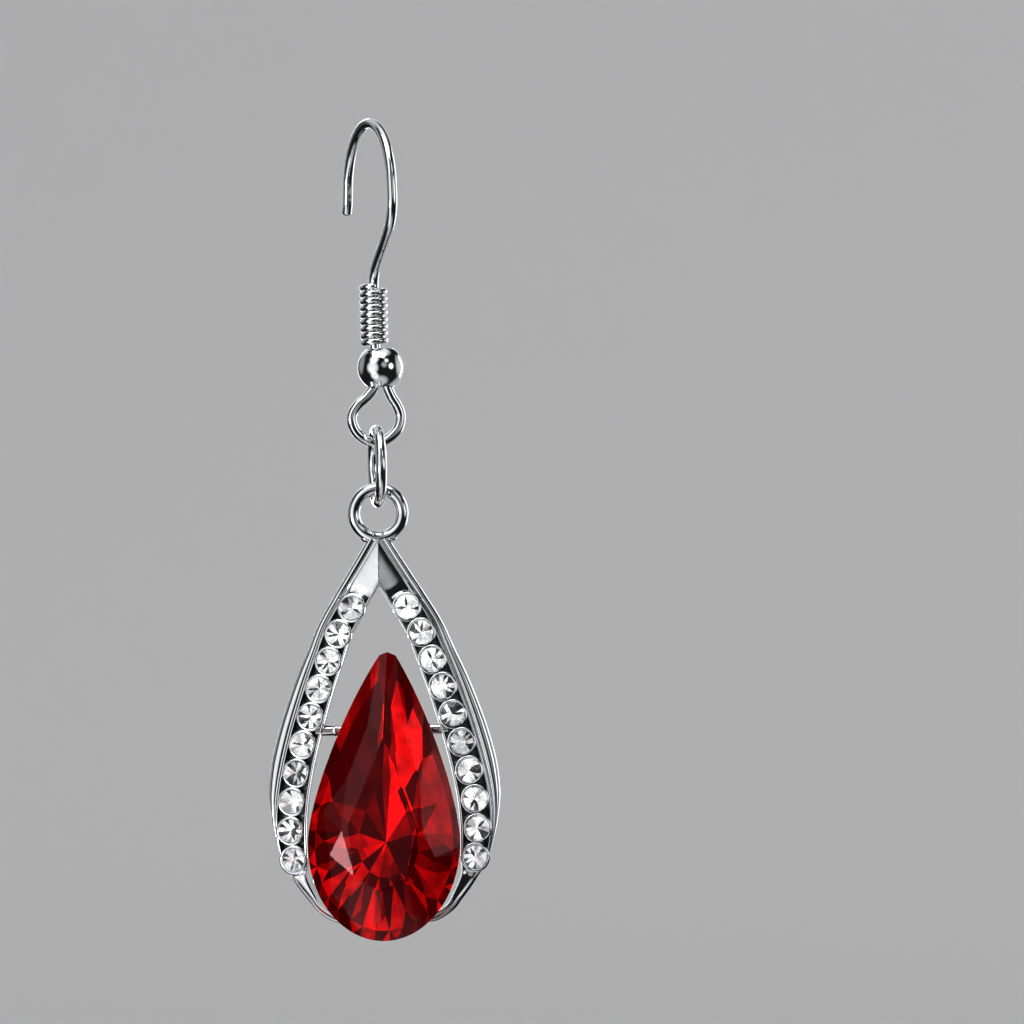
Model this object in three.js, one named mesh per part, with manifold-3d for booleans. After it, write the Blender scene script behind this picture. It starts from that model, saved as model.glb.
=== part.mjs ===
// Teardrop drop earring: ear wire, coil, bead, jump ring and a pavé pendant with a pear stone.
// Millimetres. +Z is up and the pendant faces -Y.
// The origin is the hang point: the underside of the top of the ear wire's arch.
import * as THREE from 'three';
import Module from 'manifold-3d';
import { ConvexGeometry } from 'three/addons/geometries/ConvexGeometry.js';
import { mergeVertices } from 'three/addons/utils/BufferGeometryUtils.js';

// Ear wire
const WIRE = 0.70;
const WIRE_SIDES = 8;
const WIRE_STEPS = 100;
const ARCH_RADIUS = 4.70;
const ARCH_BEHIND_STEM = 0.40;
const TAIL_DROP = 1.10;
const TAIL_FLICK = 0.30;
const SWEEP_HEIGHT = 6.30;
const STEM_BOTTOM = 17.35;
const HOOK_TURN = 25;
const RETURN_OFFSET = 0.80;
const RETURN_HEIGHT = 1.60;
const EYE_HEIGHT = 4.05;
const EYE_HALF_WIDTH = 1.76;

// Coil on the stem
const COIL_WIRE = 0.43;
const COIL_WIRE_SIDES = 6;
const COIL_DIAMETER = 1.94;
const COIL_PITCH = 0.47;
const COIL_TURNS = 8.2;
const COIL_STEPS_PER_TURN = 13;
const COIL_START_ANGLE = 180;
const COIL_GAP = 0.10;

// Bead
const BEAD_DIAMETER = 3.15;
const BEAD_HOLE = 1.80;
const BEAD_SIDES = 16;
const BEAD_EYE_GAP = 0.24;

// Jump ring and top ring of the pendant
const LINK_GAP = 0.13;
const LINK_STEPS = 16;
const LINK_WIRE_SIDES = 6;
const JUMP_RING_RADIUS = 2.46;
const JUMP_RING_WIRE = 0.76;
const RING_TURN = 13;
const TOP_RING_RADIUS = 1.66;
const TOP_RING_WIRE = 0.84;
const SOLDER_RADIUS = 0.42;
const SOLDER_PLACE = 0.55;
const SOLDER_SIDES = 8;

// Frame of the pendant
const APEX_OVERLAP = 0.20;
const FRAME_HEIGHT = 26.80;
const FRAME_HALF_WIDTH = 7.93;
const BAND_HALF_WIDTH = 1.10;
const RIM_REACH = 2.12;
const BAND_THICKNESS = 1.25;
const BAND_FORWARD = 0.60;
const BAND_TILT = 14;
const RAIL_WIDTH = 0.12;
const RAIL_HEIGHT = 0.16;
const GROOVE_WIDTH = 0.08;
const GROOVE_DEPTH = 0.34;
const RIM_DROP = 0.30;
const EDGE_BEVEL = 0.10;
const MIRROR_OVERLAP = 0.02;
const ARM_STEPS_PER_ROW = 2;

// Rhinestones and their seats
const STONES_PER_ARM = 10;
const RHINESTONE = 1.60;
const RHINESTONE_CROWN = 0.22;
const RHINESTONE_PAVILION = 0.58;
const RHINESTONE_GIRDLE = 0.06;
const SEAT_GAP = 0.10;
const COLLAR_WALL = 0.09;
const COLLAR_RISE = 0.04;
const COLLAR_ROOT = 0.20;
const SEAT_CUT_ABOVE = 1.00;
const COLLAR_SIDES = 10;

// Pear stone and its cup
const PEAR_HALF_WIDTH = 5.20;
const PEAR_BELLY_TO_APEX = 13.00;
const PEAR_BELLY_TO_BOTTOM = 6.60;
const PEAR_CROWN = 1.60;
const PEAR_PAVILION = 3.10;
const PEAR_GIRDLE = 0.20;
const PEAR_BELOW_FRAME = 0.35;
const PEAR_FORWARD = 1.45;
const PEAR_LEAN = 2.3;
const PEAR_SHIFT = 0.08;
const CUP_RIM_BEHIND = 0.45;
const CUP_BACK_WALL = 0.30;
const CUP_OVERHANG = 0.08;
const POCKET_GAP = 0.15;
const CUP_OUTLINE_STEPS = 10;
const STRUT_DIAMETER = 0.80;
const STRUT_HEIGHT = 7.70;
const STRUT_BACK = 1.05;
const STRUT_SIDES = 8;
const STRUT_BITE = 0.50;

// S-curve from the front of the arch to the stem, as shares of its height and of the arch's reach
const SWEEP = [
  { down: 0.20, out: 0.99 },
  { down: 0.38, out: 0.86 },
  { down: 0.55, out: 0.60 },
  { down: 0.72, out: 0.29 },
  { down: 0.86, out: 0.08 },
  { down: 1.00, out: 0.00 },
];

// Both sides of the eye, as shares of its height and half width
const EYE = [
  { down: 0.235, left: 0.37, right: 0.66 },
  { down: 0.380, left: 0.76, right: 0.87 },
  { down: 0.560, left: 1.00, right: 1.00 },
  { down: 0.770, left: 0.88, right: 0.88 },
  { down: 0.930, left: 0.50, right: 0.50 },
];

// One arm of the frame from above the apex to the tail behind the stone.
// down and out place the band's middle line, inner, edge and outer are widths from that line,
// rail is the rails' height and crest the rim's level, each a share of its named size.
const ARM = [
  { down: 0.002, out: -0.091, inner: 0.78, edge: 0.72, outer: 0.690, rail: 0.15, crest: 0.30 },
  { down: 0.049, out: 0.000, inner: 0.78, edge: 0.74, outer: 0.700, rail: 0.15, crest: 0.30 },
  { down: 0.110, out: 0.120, inner: 0.78, edge: 0.80, outer: 0.735, rail: 0.15, crest: 0.20 },
  { down: 0.170, out: 0.236, inner: 0.80, edge: 0.87, outer: 0.780, rail: 1.00, crest: 0.00 },
  { down: 0.233, out: 0.353, inner: 0.82, edge: 0.92, outer: 0.818, rail: 1.00, crest: -0.20 },
  { down: 0.297, out: 0.436, inner: 0.87, edge: 0.94, outer: 0.862, rail: 1.00, crest: -0.40 },
  { down: 0.364, out: 0.521, inner: 0.91, edge: 0.95, outer: 0.928, rail: 1.00, crest: -0.50 },
  { down: 0.435, out: 0.602, inner: 0.96, edge: 0.96, outer: 0.974, rail: 1.00, crest: -0.60 },
  { down: 0.502, out: 0.672, inner: 1.00, edge: 0.96, outer: 1.000, rail: 1.00, crest: -0.67 },
  { down: 0.573, out: 0.734, inner: 1.03, edge: 0.96, outer: 1.000, rail: 1.00, crest: -0.73 },
  { down: 0.651, out: 0.784, inner: 1.05, edge: 0.96, outer: 0.910, rail: 1.00, crest: -0.83 },
  { down: 0.728, out: 0.805, inner: 1.05, edge: 0.90, outer: 0.684, rail: 1.00, crest: -0.95 },
  { down: 0.806, out: 0.781, inner: 0.91, edge: 0.72, outer: 0.448, rail: 1.00, crest: -0.95 },
  { down: 0.856, out: 0.726, inner: 0.51, edge: 0.35, outer: 0.267, rail: 0.15, crest: -0.40 },
  { down: 0.905, out: 0.631, inner: 0.36, edge: 0.18, outer: 0.179, rail: 0.15, crest: -0.35 },
  { down: 0.933, out: 0.561, inner: 0.28, edge: 0.14, outer: 0.146, rail: 0.15, crest: -0.30 },
  { down: 0.959, out: 0.416, inner: 0.26, edge: 0.12, outer: 0.132, rail: 0.15, crest: -0.30 },
  { down: 0.959, out: 0.290, inner: 0.24, edge: 0.11, outer: 0.123, rail: 0.15, crest: -0.30 },
];
const FIRST_STONE_ROW = 3;
const LAST_STONE_ROW = 12;

// Profile of the rim, as shares of its width and of its drop
const RIM_PROFILE = [
  { across: 0.15, drop: 0.05 },
  { across: 0.50, drop: 0.00 },
  { across: 0.85, drop: 0.40 },
  { across: 1.00, drop: 1.00 },
];
const RIM_ROUNDING = 0.45;

// Depth of the cup behind the girdle, and how far its wall has come in, as shares
const CUP = [
  { back: 0.00, inward: 0.00 },
  { back: 0.45, inward: 0.06 },
  { back: 0.80, inward: 0.22 },
  { back: 1.00, inward: 0.42 },
];

// Facet proportions, as shares of the stone's reach from its middle
const ROUND_CUT = { table: 0.56, apexTable: 0.56 };
const PEAR_CUT = { table: 0.45, apexTable: 0.57, star: 0.68, starHeight: 0.69, keel: 0.30, keelDepth: 0.74 };
const MAIN_FACETS = 8;
const PEAR_GIRDLE_POINTS = 32;
const ROUND_GIRDLE_POINTS = 16;

// Steps that only set how finely curves and corners are measured
const CURVE_SAMPLES = 12;
const SAMPLES_PER_ROW = 20;
const MERGE_TOLERANCE = 1e-5;
const PEAR_NOSE = 1.45;

// Flank of the pear between belly and apex, as control shares of half width and length
const PEAR_FLANK = [
  { out: 1.00, up: 0.21 },
  { out: 0.57, up: 0.70 },
  { out: 0.08, up: 1.00 },
];

const wasm = await Module();
wasm.setup();

const metal = { color: 0xd9dbde, metalness: 1.0, roughness: 0.12, flatShading: true };
const glass = { color: 0xf4f6f8, metalness: 0.0, roughness: 0.05, flatShading: true };
const ruby = { color: 0xa00008, metalness: 0.0, roughness: 0.05, flatShading: true };

const rad = THREE.MathUtils.degToRad;

// Helpers for closed bodies

// Merge the shared corners, and turn the faces outward if they point in
function closed(geometry) {
  geometry.deleteAttribute('normal');
  geometry.deleteAttribute('uv');
  const merged = mergeVertices(geometry, MERGE_TOLERANCE);
  const index = Array.from(merged.getIndex().array);
  if (signedVolume(merged.getAttribute('position').array, index) < 0) index.reverse();
  merged.setIndex(index);
  return merged;
}

function toSolid(geometry) {
  const merged = closed(geometry.clone());
  return new wasm.Manifold(new wasm.Mesh({
    numProp: 3,
    vertProperties: new Float32Array(merged.getAttribute('position').array),
    triVerts: new Uint32Array(merged.getIndex().array),
  }));
}

function fromSolid(solid) {
  const mesh = solid.getMesh();
  const geometry = new THREE.BufferGeometry();
  geometry.setAttribute('position', new THREE.BufferAttribute(mesh.vertProperties, 3));
  geometry.setIndex(new THREE.BufferAttribute(mesh.triVerts, 1));
  return geometry;
}

function signedVolume(positions, index) {
  const corner = (i) => new THREE.Vector3().fromArray(positions, 3 * index[i]);
  let sum = 0;
  for (let i = 0; i < index.length; i += 3) {
    sum += corner(i).dot(corner(i + 1).cross(corner(i + 2)));
  }
  return sum / 6;
}

// Skin over a row of closed rings that have the same number of points, with a flat cap at each end
function loft(rings) {
  const count = rings[0].length;
  const positions = rings.flat().flatMap((p) => p.toArray());
  const index = [];
  for (let r = 0; r + 1 < rings.length; r += 1) {
    for (let k = 0; k < count; k += 1) {
      const a = r * count + k;
      const b = r * count + ((k + 1) % count);
      index.push(a, b, b + count, a, b + count, a + count);
    }
  }
  index.push(...capFaces(rings[0], 0, true));
  index.push(...capFaces(rings[rings.length - 1], (rings.length - 1) * count, false));
  const geometry = new THREE.BufferGeometry();
  geometry.setAttribute('position', new THREE.Float32BufferAttribute(positions, 3));
  geometry.setIndex(index);
  return geometry;
}

// Triangles of one flat ring, in the ring's own plane
function capFaces(ring, offset, flipped) {
  const normal = new THREE.Vector3();
  ring.forEach((p, i) => normal.add(p.clone().cross(ring[(i + 1) % ring.length])));
  const side = ring[1].clone().sub(ring[0]).normalize();
  const up = normal.normalize().cross(side);
  const flat = ring.map((p) => new THREE.Vector2(p.dot(side), p.dot(up)));
  const faces = THREE.ShapeUtils.triangulateShape(flat, []);
  const ordered = faces.map(([a, b, c]) => (flipped ? [a, c, b] : [a, b, c]));
  return ordered.flat().map((i) => i + offset);
}

// Corners of a regular polygon in a circle, from its lowest point
function roundOutline(radius, corners) {
  return Array.from({ length: corners }, (_, k) => {
    const angle = (2 * Math.PI * k) / corners - Math.PI / 2;
    return new THREE.Vector2(radius * Math.cos(angle), radius * Math.sin(angle));
  });
}

// Round wire along a curve
function wire(curve, diameter, sides, steps) {
  const section = new THREE.Shape(roundOutline(diameter / 2, sides));
  return closed(new THREE.ExtrudeGeometry(section, { steps, extrudePath: curve, bevelEnabled: false }));
}

function smoothCurve(points) {
  const curve = new THREE.CatmullRomCurve3(points, false, 'centripetal');
  curve.arcLengthDivisions = CURVE_SAMPLES * points.length;
  return curve;
}

function named(name, geometry, finish) {
  const mesh = new THREE.Mesh(geometry, new THREE.MeshStandardMaterial(finish));
  mesh.name = name;
  return mesh;
}

// Heights that the pieces share

const archTop = WIRE / 2;
const archMiddle = archTop - ARCH_RADIUS;
const frontReach = ARCH_RADIUS - ARCH_BEHIND_STEM;
const beadHoleRadius = BEAD_HOLE / 2;
const beadHalfHeight = Math.sqrt((BEAD_DIAMETER / 2) ** 2 - beadHoleRadius ** 2);
const beadMiddle = -STEM_BOTTOM - BEAD_EYE_GAP + beadHalfHeight;
const eyeBottom = -STEM_BOTTOM - EYE_HEIGHT;
const jumpRingTop = eyeBottom + (WIRE + JUMP_RING_WIRE) / 2 + LINK_GAP;
const jumpRingMiddle = jumpRingTop - JUMP_RING_RADIUS;
const jumpRingBottom = jumpRingMiddle - JUMP_RING_RADIUS;
const topRingTop = jumpRingBottom + (JUMP_RING_WIRE + TOP_RING_WIRE) / 2 + LINK_GAP;
const topRingMiddle = topRingTop - TOP_RING_RADIUS;
const frameTop = topRingMiddle - TOP_RING_RADIUS - APEX_OVERLAP;
const pearBottom = frameTop - FRAME_HEIGHT - PEAR_BELOW_FRAME;
const pearBelly = pearBottom + PEAR_BELLY_TO_BOTTOM;

// Ear wire: one wire in the hook's own plane, then the eye across it

// A point of the hook: forward of the stem, across to the right, and up
function hookPoint(forward, across, up) {
  const turn = rad(HOOK_TURN);
  const x = forward * Math.sin(turn) + across * Math.cos(turn);
  const y = across * Math.sin(turn) - forward * Math.cos(turn);
  return new THREE.Vector3(x, y, up);
}

function archPoints() {
  const points = [];
  for (let angle = 180; angle >= 0; angle -= 15) {
    const forward = -ARCH_BEHIND_STEM + ARCH_RADIUS * Math.cos(rad(angle));
    const up = archMiddle + ARCH_RADIUS * Math.sin(rad(angle));
    points.push(hookPoint(forward, 0, up));
  }
  return points;
}

function tailPoints() {
  const back = -ARCH_BEHIND_STEM - ARCH_RADIUS;
  return [
    hookPoint(back - TAIL_FLICK, 0, archMiddle - TAIL_DROP),
    hookPoint(back - TAIL_FLICK / 4, 0, archMiddle - TAIL_DROP / 2),
  ];
}

function sweepPoints() {
  return SWEEP.map((row) => hookPoint(frontReach * row.out, 0, archMiddle - SWEEP_HEIGHT * row.down));
}

function eyePoints() {
  const height = (row) => -STEM_BOTTOM - EYE_HEIGHT * row.down;
  const leftSide = EYE.map((row) => hookPoint(0, -EYE_HALF_WIDTH * row.left, height(row)));
  const rightSide = EYE.map((row) => hookPoint(0, EYE_HALF_WIDTH * row.right, height(row)));
  return [...leftSide, hookPoint(0, 0, eyeBottom), ...rightSide.reverse()];
}

function earHook() {
  const stemTop = archMiddle - SWEEP_HEIGHT;
  const stem = [
    hookPoint(0, 0, (stemTop - STEM_BOTTOM) / 2),
    hookPoint(0, 0, -STEM_BOTTOM),
  ];
  const returnEnd = [
    hookPoint(0, RETURN_OFFSET, -STEM_BOTTOM),
    hookPoint(0, RETURN_OFFSET, -STEM_BOTTOM + RETURN_HEIGHT),
  ];
  const points = [...tailPoints(), ...archPoints(), ...sweepPoints(), ...stem, ...eyePoints(), ...returnEnd];
  return named('ear_hook', wire(smoothCurve(points), WIRE, WIRE_SIDES, WIRE_STEPS), metal);
}

// Coil: a helix that stands just clear of the bead

function coilBottom() {
  const helixRadius = (COIL_DIAMETER - COIL_WIRE) / 2;
  const contact = BEAD_DIAMETER / 2 + COIL_WIRE / 2 + COIL_GAP;
  const beadAcross = RETURN_OFFSET / 2;
  const reach = Math.hypot(beadAcross, helixRadius);
  return beadMiddle + Math.sqrt(contact ** 2 - reach ** 2);
}

function hookCoil() {
  const helixRadius = (COIL_DIAMETER - COIL_WIRE) / 2;
  const points = [];
  const bottom = coilBottom();
  const steps = Math.round(COIL_TURNS * COIL_STEPS_PER_TURN);
  for (let i = 0; i <= steps; i += 1) {
    const turns = i / COIL_STEPS_PER_TURN;
    const angle = rad(COIL_START_ANGLE + HOOK_TURN + 360 * turns);
    const up = bottom + COIL_PITCH * turns;
    points.push(new THREE.Vector3(helixRadius * Math.cos(angle), helixRadius * Math.sin(angle), up));
  }
  return named('hook_coil', wire(smoothCurve(points), COIL_WIRE, COIL_WIRE_SIDES, steps), metal);
}

// Bead: a turned ball whose hole holds the stem and the return end side by side
function ballBead() {
  const radius = BEAD_DIAMETER / 2;
  const rimAngle = Math.asin(beadHalfHeight / radius);
  const profile = [];
  const rows = BEAD_SIDES / 2;
  for (let i = 0; i <= rows; i += 1) {
    const angle = -rimAngle + (2 * rimAngle * i) / rows;
    profile.push(new THREE.Vector2(radius * Math.cos(angle), radius * Math.sin(angle)));
  }
  profile.push(profile[0].clone());
  const geometry = closed(new THREE.LatheGeometry(profile, BEAD_SIDES));
  const bead = named('ball_bead', geometry, metal);
  bead.rotation.x = Math.PI / 2;
  bead.position.copy(hookPoint(0, RETURN_OFFSET / 2, beadMiddle));
  return bead;
}

// Jump ring: stands across the eye and the pendant's top ring
function jumpRing() {
  const torus = new THREE.TorusGeometry(JUMP_RING_RADIUS, JUMP_RING_WIRE / 2, LINK_WIRE_SIDES, LINK_STEPS);
  const ring = named('jump_ring', closed(torus), metal);
  ring.rotation.set(Math.PI / 2, 0, 0);
  const upright = new THREE.Group();
  upright.rotation.z = rad(90 + RING_TURN);
  upright.position.z = jumpRingMiddle;
  upright.add(ring);
  return upright;
}

// Arms of the frame

// Smooth values between the rows of the arm's table; at runs from the first row to the last
function armCurves() {
  const line = ARM.map((row) => new THREE.Vector3(
    FRAME_HALF_WIDTH * row.out,
    -BAND_FORWARD,
    frameTop - FRAME_HEIGHT * row.down,
  ));
  const widths = ARM.map((row) => new THREE.Vector3(
    BAND_HALF_WIDTH * row.inner,
    BAND_HALF_WIDTH * row.edge,
    RIM_REACH * row.outer,
  ));
  const levels = ARM.map((row) => new THREE.Vector3(
    RAIL_HEIGHT * row.rail,
    RIM_DROP * row.crest,
    -GROOVE_DEPTH * row.rail,
  ));
  return {
    line: new THREE.CatmullRomCurve3(line),
    widths: new THREE.CatmullRomCurve3(widths),
    levels: new THREE.CatmullRomCurve3(levels),
  };
}

// Directions at a point of the band: across to the outer edge and out of the stones' face
function bandAxes(line, at) {
  const along = line.getTangent(at);
  const across = new THREE.Vector3(-along.z, 0, along.x);
  const tilt = rad(BAND_TILT);
  const back = new THREE.Vector3(0, 1, 0);
  const face = back.clone().multiplyScalar(-Math.cos(tilt)).addScaledVector(across, Math.sin(tilt));
  const outward = across.clone().multiplyScalar(Math.cos(tilt)).addScaledVector(back, Math.sin(tilt));
  return { along, outward, face };
}

// Section of an arm, from the inner back edge over the front to the outer back edge
function armSection(widths, levels) {
  const { x: inner, y: edge, z: outer } = widths;
  const { x: rail, y: crest, z: grooveLevel } = levels;
  const rimFrom = edge + GROOVE_WIDTH;
  const rimWidth = Math.max(outer - rimFrom, GROOVE_WIDTH);
  const groove = Math.min(grooveLevel, crest - GROOVE_WIDTH);
  return [
    [EDGE_BEVEL - inner, -BAND_THICKNESS],
    [-inner, rail],
    [RAIL_WIDTH - inner, rail],
    [RAIL_WIDTH - inner, 0],
    [edge - RAIL_WIDTH, 0],
    [edge - RAIL_WIDTH, rail],
    [edge, rail],
    [edge, groove],
    [rimFrom, groove],
    ...RIM_PROFILE.map((row) => [rimFrom + rimWidth * row.across, crest - RIM_ROUNDING * row.drop]),
    [rimFrom + rimWidth - EDGE_BEVEL, -BAND_THICKNESS],
  ];
}

function armRings(curves) {
  const rings = [];
  const steps = (ARM.length - 1) * ARM_STEPS_PER_ROW;
  for (let i = 0; i <= steps; i += 1) {
    const at = i / steps;
    const middle = curves.line.getPoint(at);
    const { outward, face } = bandAxes(curves.line, at);
    const section = armSection(curves.widths.getPoint(at), curves.levels.getPoint(at));
    rings.push(section.map(([u, v]) => middle.clone().addScaledVector(outward, u).addScaledVector(face, v)));
  }
  return rings;
}

// Seats of one arm, evenly spaced from the first stone to the last
function seats(curves) {
  const { line } = curves;
  const rows = ARM.length - 1;
  line.arcLengthDivisions = SAMPLES_PER_ROW * rows;
  const lengths = line.getLengths();
  const first = lengths[SAMPLES_PER_ROW * FIRST_STONE_ROW];
  const last = lengths[SAMPLES_PER_ROW * LAST_STONE_ROW];
  return Array.from({ length: STONES_PER_ARM }, (_, i) => {
    const at = line.getUtoTmapping(0, first + (i * (last - first)) / (STONES_PER_ARM - 1));
    return { middle: line.getPoint(at), ...bandAxes(line, at) };
  });
}

function seatMatrix(seat) {
  const right = new THREE.Vector3().crossVectors(seat.along, seat.face);
  return new THREE.Matrix4().makeBasis(right, seat.along, seat.face).setPosition(seat.middle);
}

// Upright cylinder between two heights along a seat's axis
function seatCylinder(seat, radius, from, to) {
  const cylinder = new THREE.CylinderGeometry(radius, radius, to - from, COLLAR_SIDES);
  cylinder.rotateX(Math.PI / 2);
  cylinder.translate(0, 0, (from + to) / 2);
  return toSolid(cylinder.applyMatrix4(seatMatrix(seat)));
}

// Round pockets that the stones of one arm sit in
function seatPockets() {
  const radius = RHINESTONE / 2 + SEAT_GAP;
  const floor = RAIL_HEIGHT - RHINESTONE_GIRDLE / 2 - RHINESTONE_PAVILION - SEAT_GAP;
  const top = RAIL_HEIGHT + SEAT_CUT_ABOVE;
  return wasm.Manifold.union(seats(armCurves()).map((seat) => seatCylinder(seat, radius, floor, top)));
}

function frameArm() {
  const curves = armCurves();
  let arm = toSolid(loft(armRings(curves)));
  const collarRadius = RHINESTONE / 2 + SEAT_GAP + COLLAR_WALL;
  for (const seat of seats(curves)) {
    arm = arm.add(seatCylinder(seat, collarRadius, -COLLAR_ROOT, RAIL_HEIGHT + COLLAR_RISE));
  }
  const reach = 4 * FRAME_HALF_WIDTH;
  const half = new THREE.BoxGeometry(reach, reach, 4 * FRAME_HEIGHT);
  half.translate(reach / 2 - MIRROR_OVERLAP, 0, frameTop);
  return arm.intersect(toSolid(half));
}

// Pear stone's outline, grown by a width; step 0 is the bottom and the last step the apex
function pearHalf(steps, grow = 0) {
  const halfWidth = PEAR_HALF_WIDTH + grow;
  const bottom = PEAR_BELLY_TO_BOTTOM + grow;
  const apex = PEAR_BELLY_TO_APEX + 2 * grow;
  const flank = new THREE.CubicBezierCurve(
    new THREE.Vector2(halfWidth, 0),
    ...PEAR_FLANK.map((row) => new THREE.Vector2(halfWidth * row.out, apex * row.up)),
  );
  const belly = steps / 2;
  const points = [];
  for (let i = 0; i <= steps; i += 1) {
    const angle = (Math.PI / 2) * (i / belly);
    const low = new THREE.Vector2(halfWidth * Math.sin(angle), -bottom * Math.cos(angle));
    // Steps crowd toward the apex, so its nose comes out round
    const along = 1 - ((steps - i) / belly) ** PEAR_NOSE;
    points.push(i <= belly ? low : flank.getPoint(along));
  }
  points[steps] = new THREE.Vector2(0, apex);
  return points;
}

function pearOutline(steps, grow = 0) {
  const right = pearHalf(steps, grow);
  const left = right.slice(1, -1).reverse().map((p) => new THREE.Vector2(-p.x, p.y));
  return [...right, ...left];
}

// Cut stone that faces +Z, with its girdle's middle at the origin
function cutStone(outline, cut, crown, pavilion, girdle) {
  const points = [];
  const spacing = outline.length / MAIN_FACETS;
  const put = (p, share, height) => points.push(new THREE.Vector3(p.x * share, p.y * share, height));
  outline.forEach((p, k) => {
    const main = k % spacing === 0;
    const between = k % spacing === spacing / 2;
    put(p, 1, girdle / 2);
    put(p, 1, -girdle / 2);
    if (main) put(p, k === outline.length / 2 ? cut.apexTable : cut.table, girdle / 2 + crown);
    if (between && cut.star) put(p, cut.star, girdle / 2 + crown * cut.starHeight);
    if (between && cut.keel) put(p, cut.keel, -girdle / 2 - pavilion * cut.keelDepth);
  });
  points.push(new THREE.Vector3(0, 0, -girdle / 2 - pavilion));
  return closed(new ConvexGeometry(points));
}

function pearMatrix() {
  const upright = new THREE.Matrix4().makeRotationX(Math.PI / 2);
  const lean = new THREE.Matrix4().makeRotationY(rad(PEAR_LEAN));
  const place = new THREE.Matrix4().makeTranslation(PEAR_SHIFT, -PEAR_FORWARD, pearBelly);
  return place.multiply(lean).multiply(upright);
}

// Cup behind the pear stone, and the pocket that the stone's pavilion sits in
function cupSolid() {
  const depth = PEAR_GIRDLE / 2 + PEAR_PAVILION + POCKET_GAP + CUP_BACK_WALL;
  const rings = CUP.map((row) => {
    const grow = -CUP_OVERHANG - row.inward * PEAR_HALF_WIDTH;
    const back = CUP_RIM_BEHIND + row.back * (depth - CUP_RIM_BEHIND);
    return pearOutline(CUP_OUTLINE_STEPS, grow).map((p) => new THREE.Vector3(p.x, p.y, -back));
  });
  return toSolid(loft(rings).applyMatrix4(pearMatrix()));
}

function pocketSolid() {
  const outline = pearOutline(PEAR_GIRDLE_POINTS / 2, POCKET_GAP);
  const pocket = cutStone(outline, PEAR_CUT, PEAR_CROWN, PEAR_PAVILION + POCKET_GAP, PEAR_GIRDLE);
  return toSolid(pocket.applyMatrix4(pearMatrix()));
}

// Distance from the middle to an arm's inner edge at a height
function armInnerEdge(height) {
  const { line, widths } = armCurves();
  const samples = line.getPoints(SAMPLES_PER_ROW * ARM.length);
  const i = samples.findIndex((p) => p.x > 0 && p.z < height);
  return samples[i].x - widths.getPoint(i / (samples.length - 1)).x;
}

// Short round peg from the cup's wall into an arm's inner side
function strutSolid(side) {
  const height = pearBelly + STRUT_HEIGHT;
  const cupSide = pearHalf(8 * CUP_OUTLINE_STEPS).find((p) => p.y > STRUT_HEIGHT).x - CUP_OVERHANG;
  const from = cupSide - STRUT_BITE;
  const to = armInnerEdge(height) + STRUT_BITE;
  const peg = new THREE.CylinderGeometry(STRUT_DIAMETER / 2, STRUT_DIAMETER / 2, to - from, STRUT_SIDES);
  peg.rotateZ(Math.PI / 2);
  peg.translate((side * (from + to)) / 2, STRUT_BACK - PEAR_FORWARD, height);
  return toSolid(peg);
}

function topRingSolid() {
  const torus = new THREE.TorusGeometry(TOP_RING_RADIUS, TOP_RING_WIRE / 2, LINK_WIRE_SIDES, LINK_STEPS);
  torus.rotateX(Math.PI / 2);
  torus.translate(0, 0, topRingMiddle);
  return toSolid(torus);
}

function solderSolid(side) {
  const blob = new THREE.SphereGeometry(SOLDER_RADIUS, SOLDER_SIDES, SOLDER_SIDES);
  blob.translate(side * TOP_RING_RADIUS * SOLDER_PLACE, 0, frameTop + SOLDER_RADIUS / 2);
  return toSolid(blob);
}

function pendantFrame() {
  const right = frameArm();
  const left = right.mirror([1, 0, 0]);
  let frame = right.add(left).add(topRingSolid()).add(cupSolid());
  for (const side of [-1, 1]) {
    frame = frame.add(solderSolid(side)).add(strutSolid(side));
  }
  const pockets = seatPockets();
  frame = frame.subtract(pocketSolid()).subtract(pockets).subtract(pockets.mirror([1, 0, 0]));
  return named('pendant_frame', fromSolid(frame), metal);
}

function pearStone() {
  const outline = pearOutline(PEAR_GIRDLE_POINTS / 2);
  const stone = named('pear_stone', cutStone(outline, PEAR_CUT, PEAR_CROWN, PEAR_PAVILION, PEAR_GIRDLE), ruby);
  stone.applyMatrix4(pearMatrix());
  return stone;
}

function rhinestones() {
  const group = new THREE.Group();
  const outline = roundOutline(RHINESTONE / 2, ROUND_GIRDLE_POINTS);
  seats(armCurves()).forEach((seat, i) => {
    for (const [label, side] of [['left', -1], ['right', 1]]) {
      const geometry = cutStone(outline, ROUND_CUT, RHINESTONE_CROWN, RHINESTONE_PAVILION, RHINESTONE_GIRDLE);
      const stone = named(`rhinestone_${label}_${String(i + 1).padStart(2, '0')}`, geometry, glass);
      const across = new THREE.Vector3(side, 1, 1);
      const along = seat.along.clone().multiply(across);
      const face = seat.face.clone().multiply(across);
      const right = new THREE.Vector3().crossVectors(along, face);
      const middle = seat.middle.clone().multiply(across).addScaledVector(face, RAIL_HEIGHT);
      stone.applyMatrix4(new THREE.Matrix4().makeBasis(right, along, face).setPosition(middle));
      group.add(stone);
    }
  });
  return group;
}

const earring = new THREE.Group();
earring.add(earHook(), hookCoil(), ballBead(), jumpRing(), pendantFrame(), pearStone(), rhinestones());

export default earring;
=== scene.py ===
# %% [markdown]
# # A teardrop earring, piece by piece
# The earring hangs from a bent hook wire. Under the hook come a small coil, a ball bead, a jump
# ring and an open pendant, whose two arms carry a row of clear stones round a large red pear
# stone. The solids of the part are loaded first. They fix every size and place, so each piece
# below is made in the same frame: metres, +Z up, the pendant faces -Y, the origin where the hook
# hangs.

# %% Load the solids
from math import asin, cos, pi, radians, sin, sqrt
from random import Random
import bmesh
import bpy
from mathutils import Matrix, Vector


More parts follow.
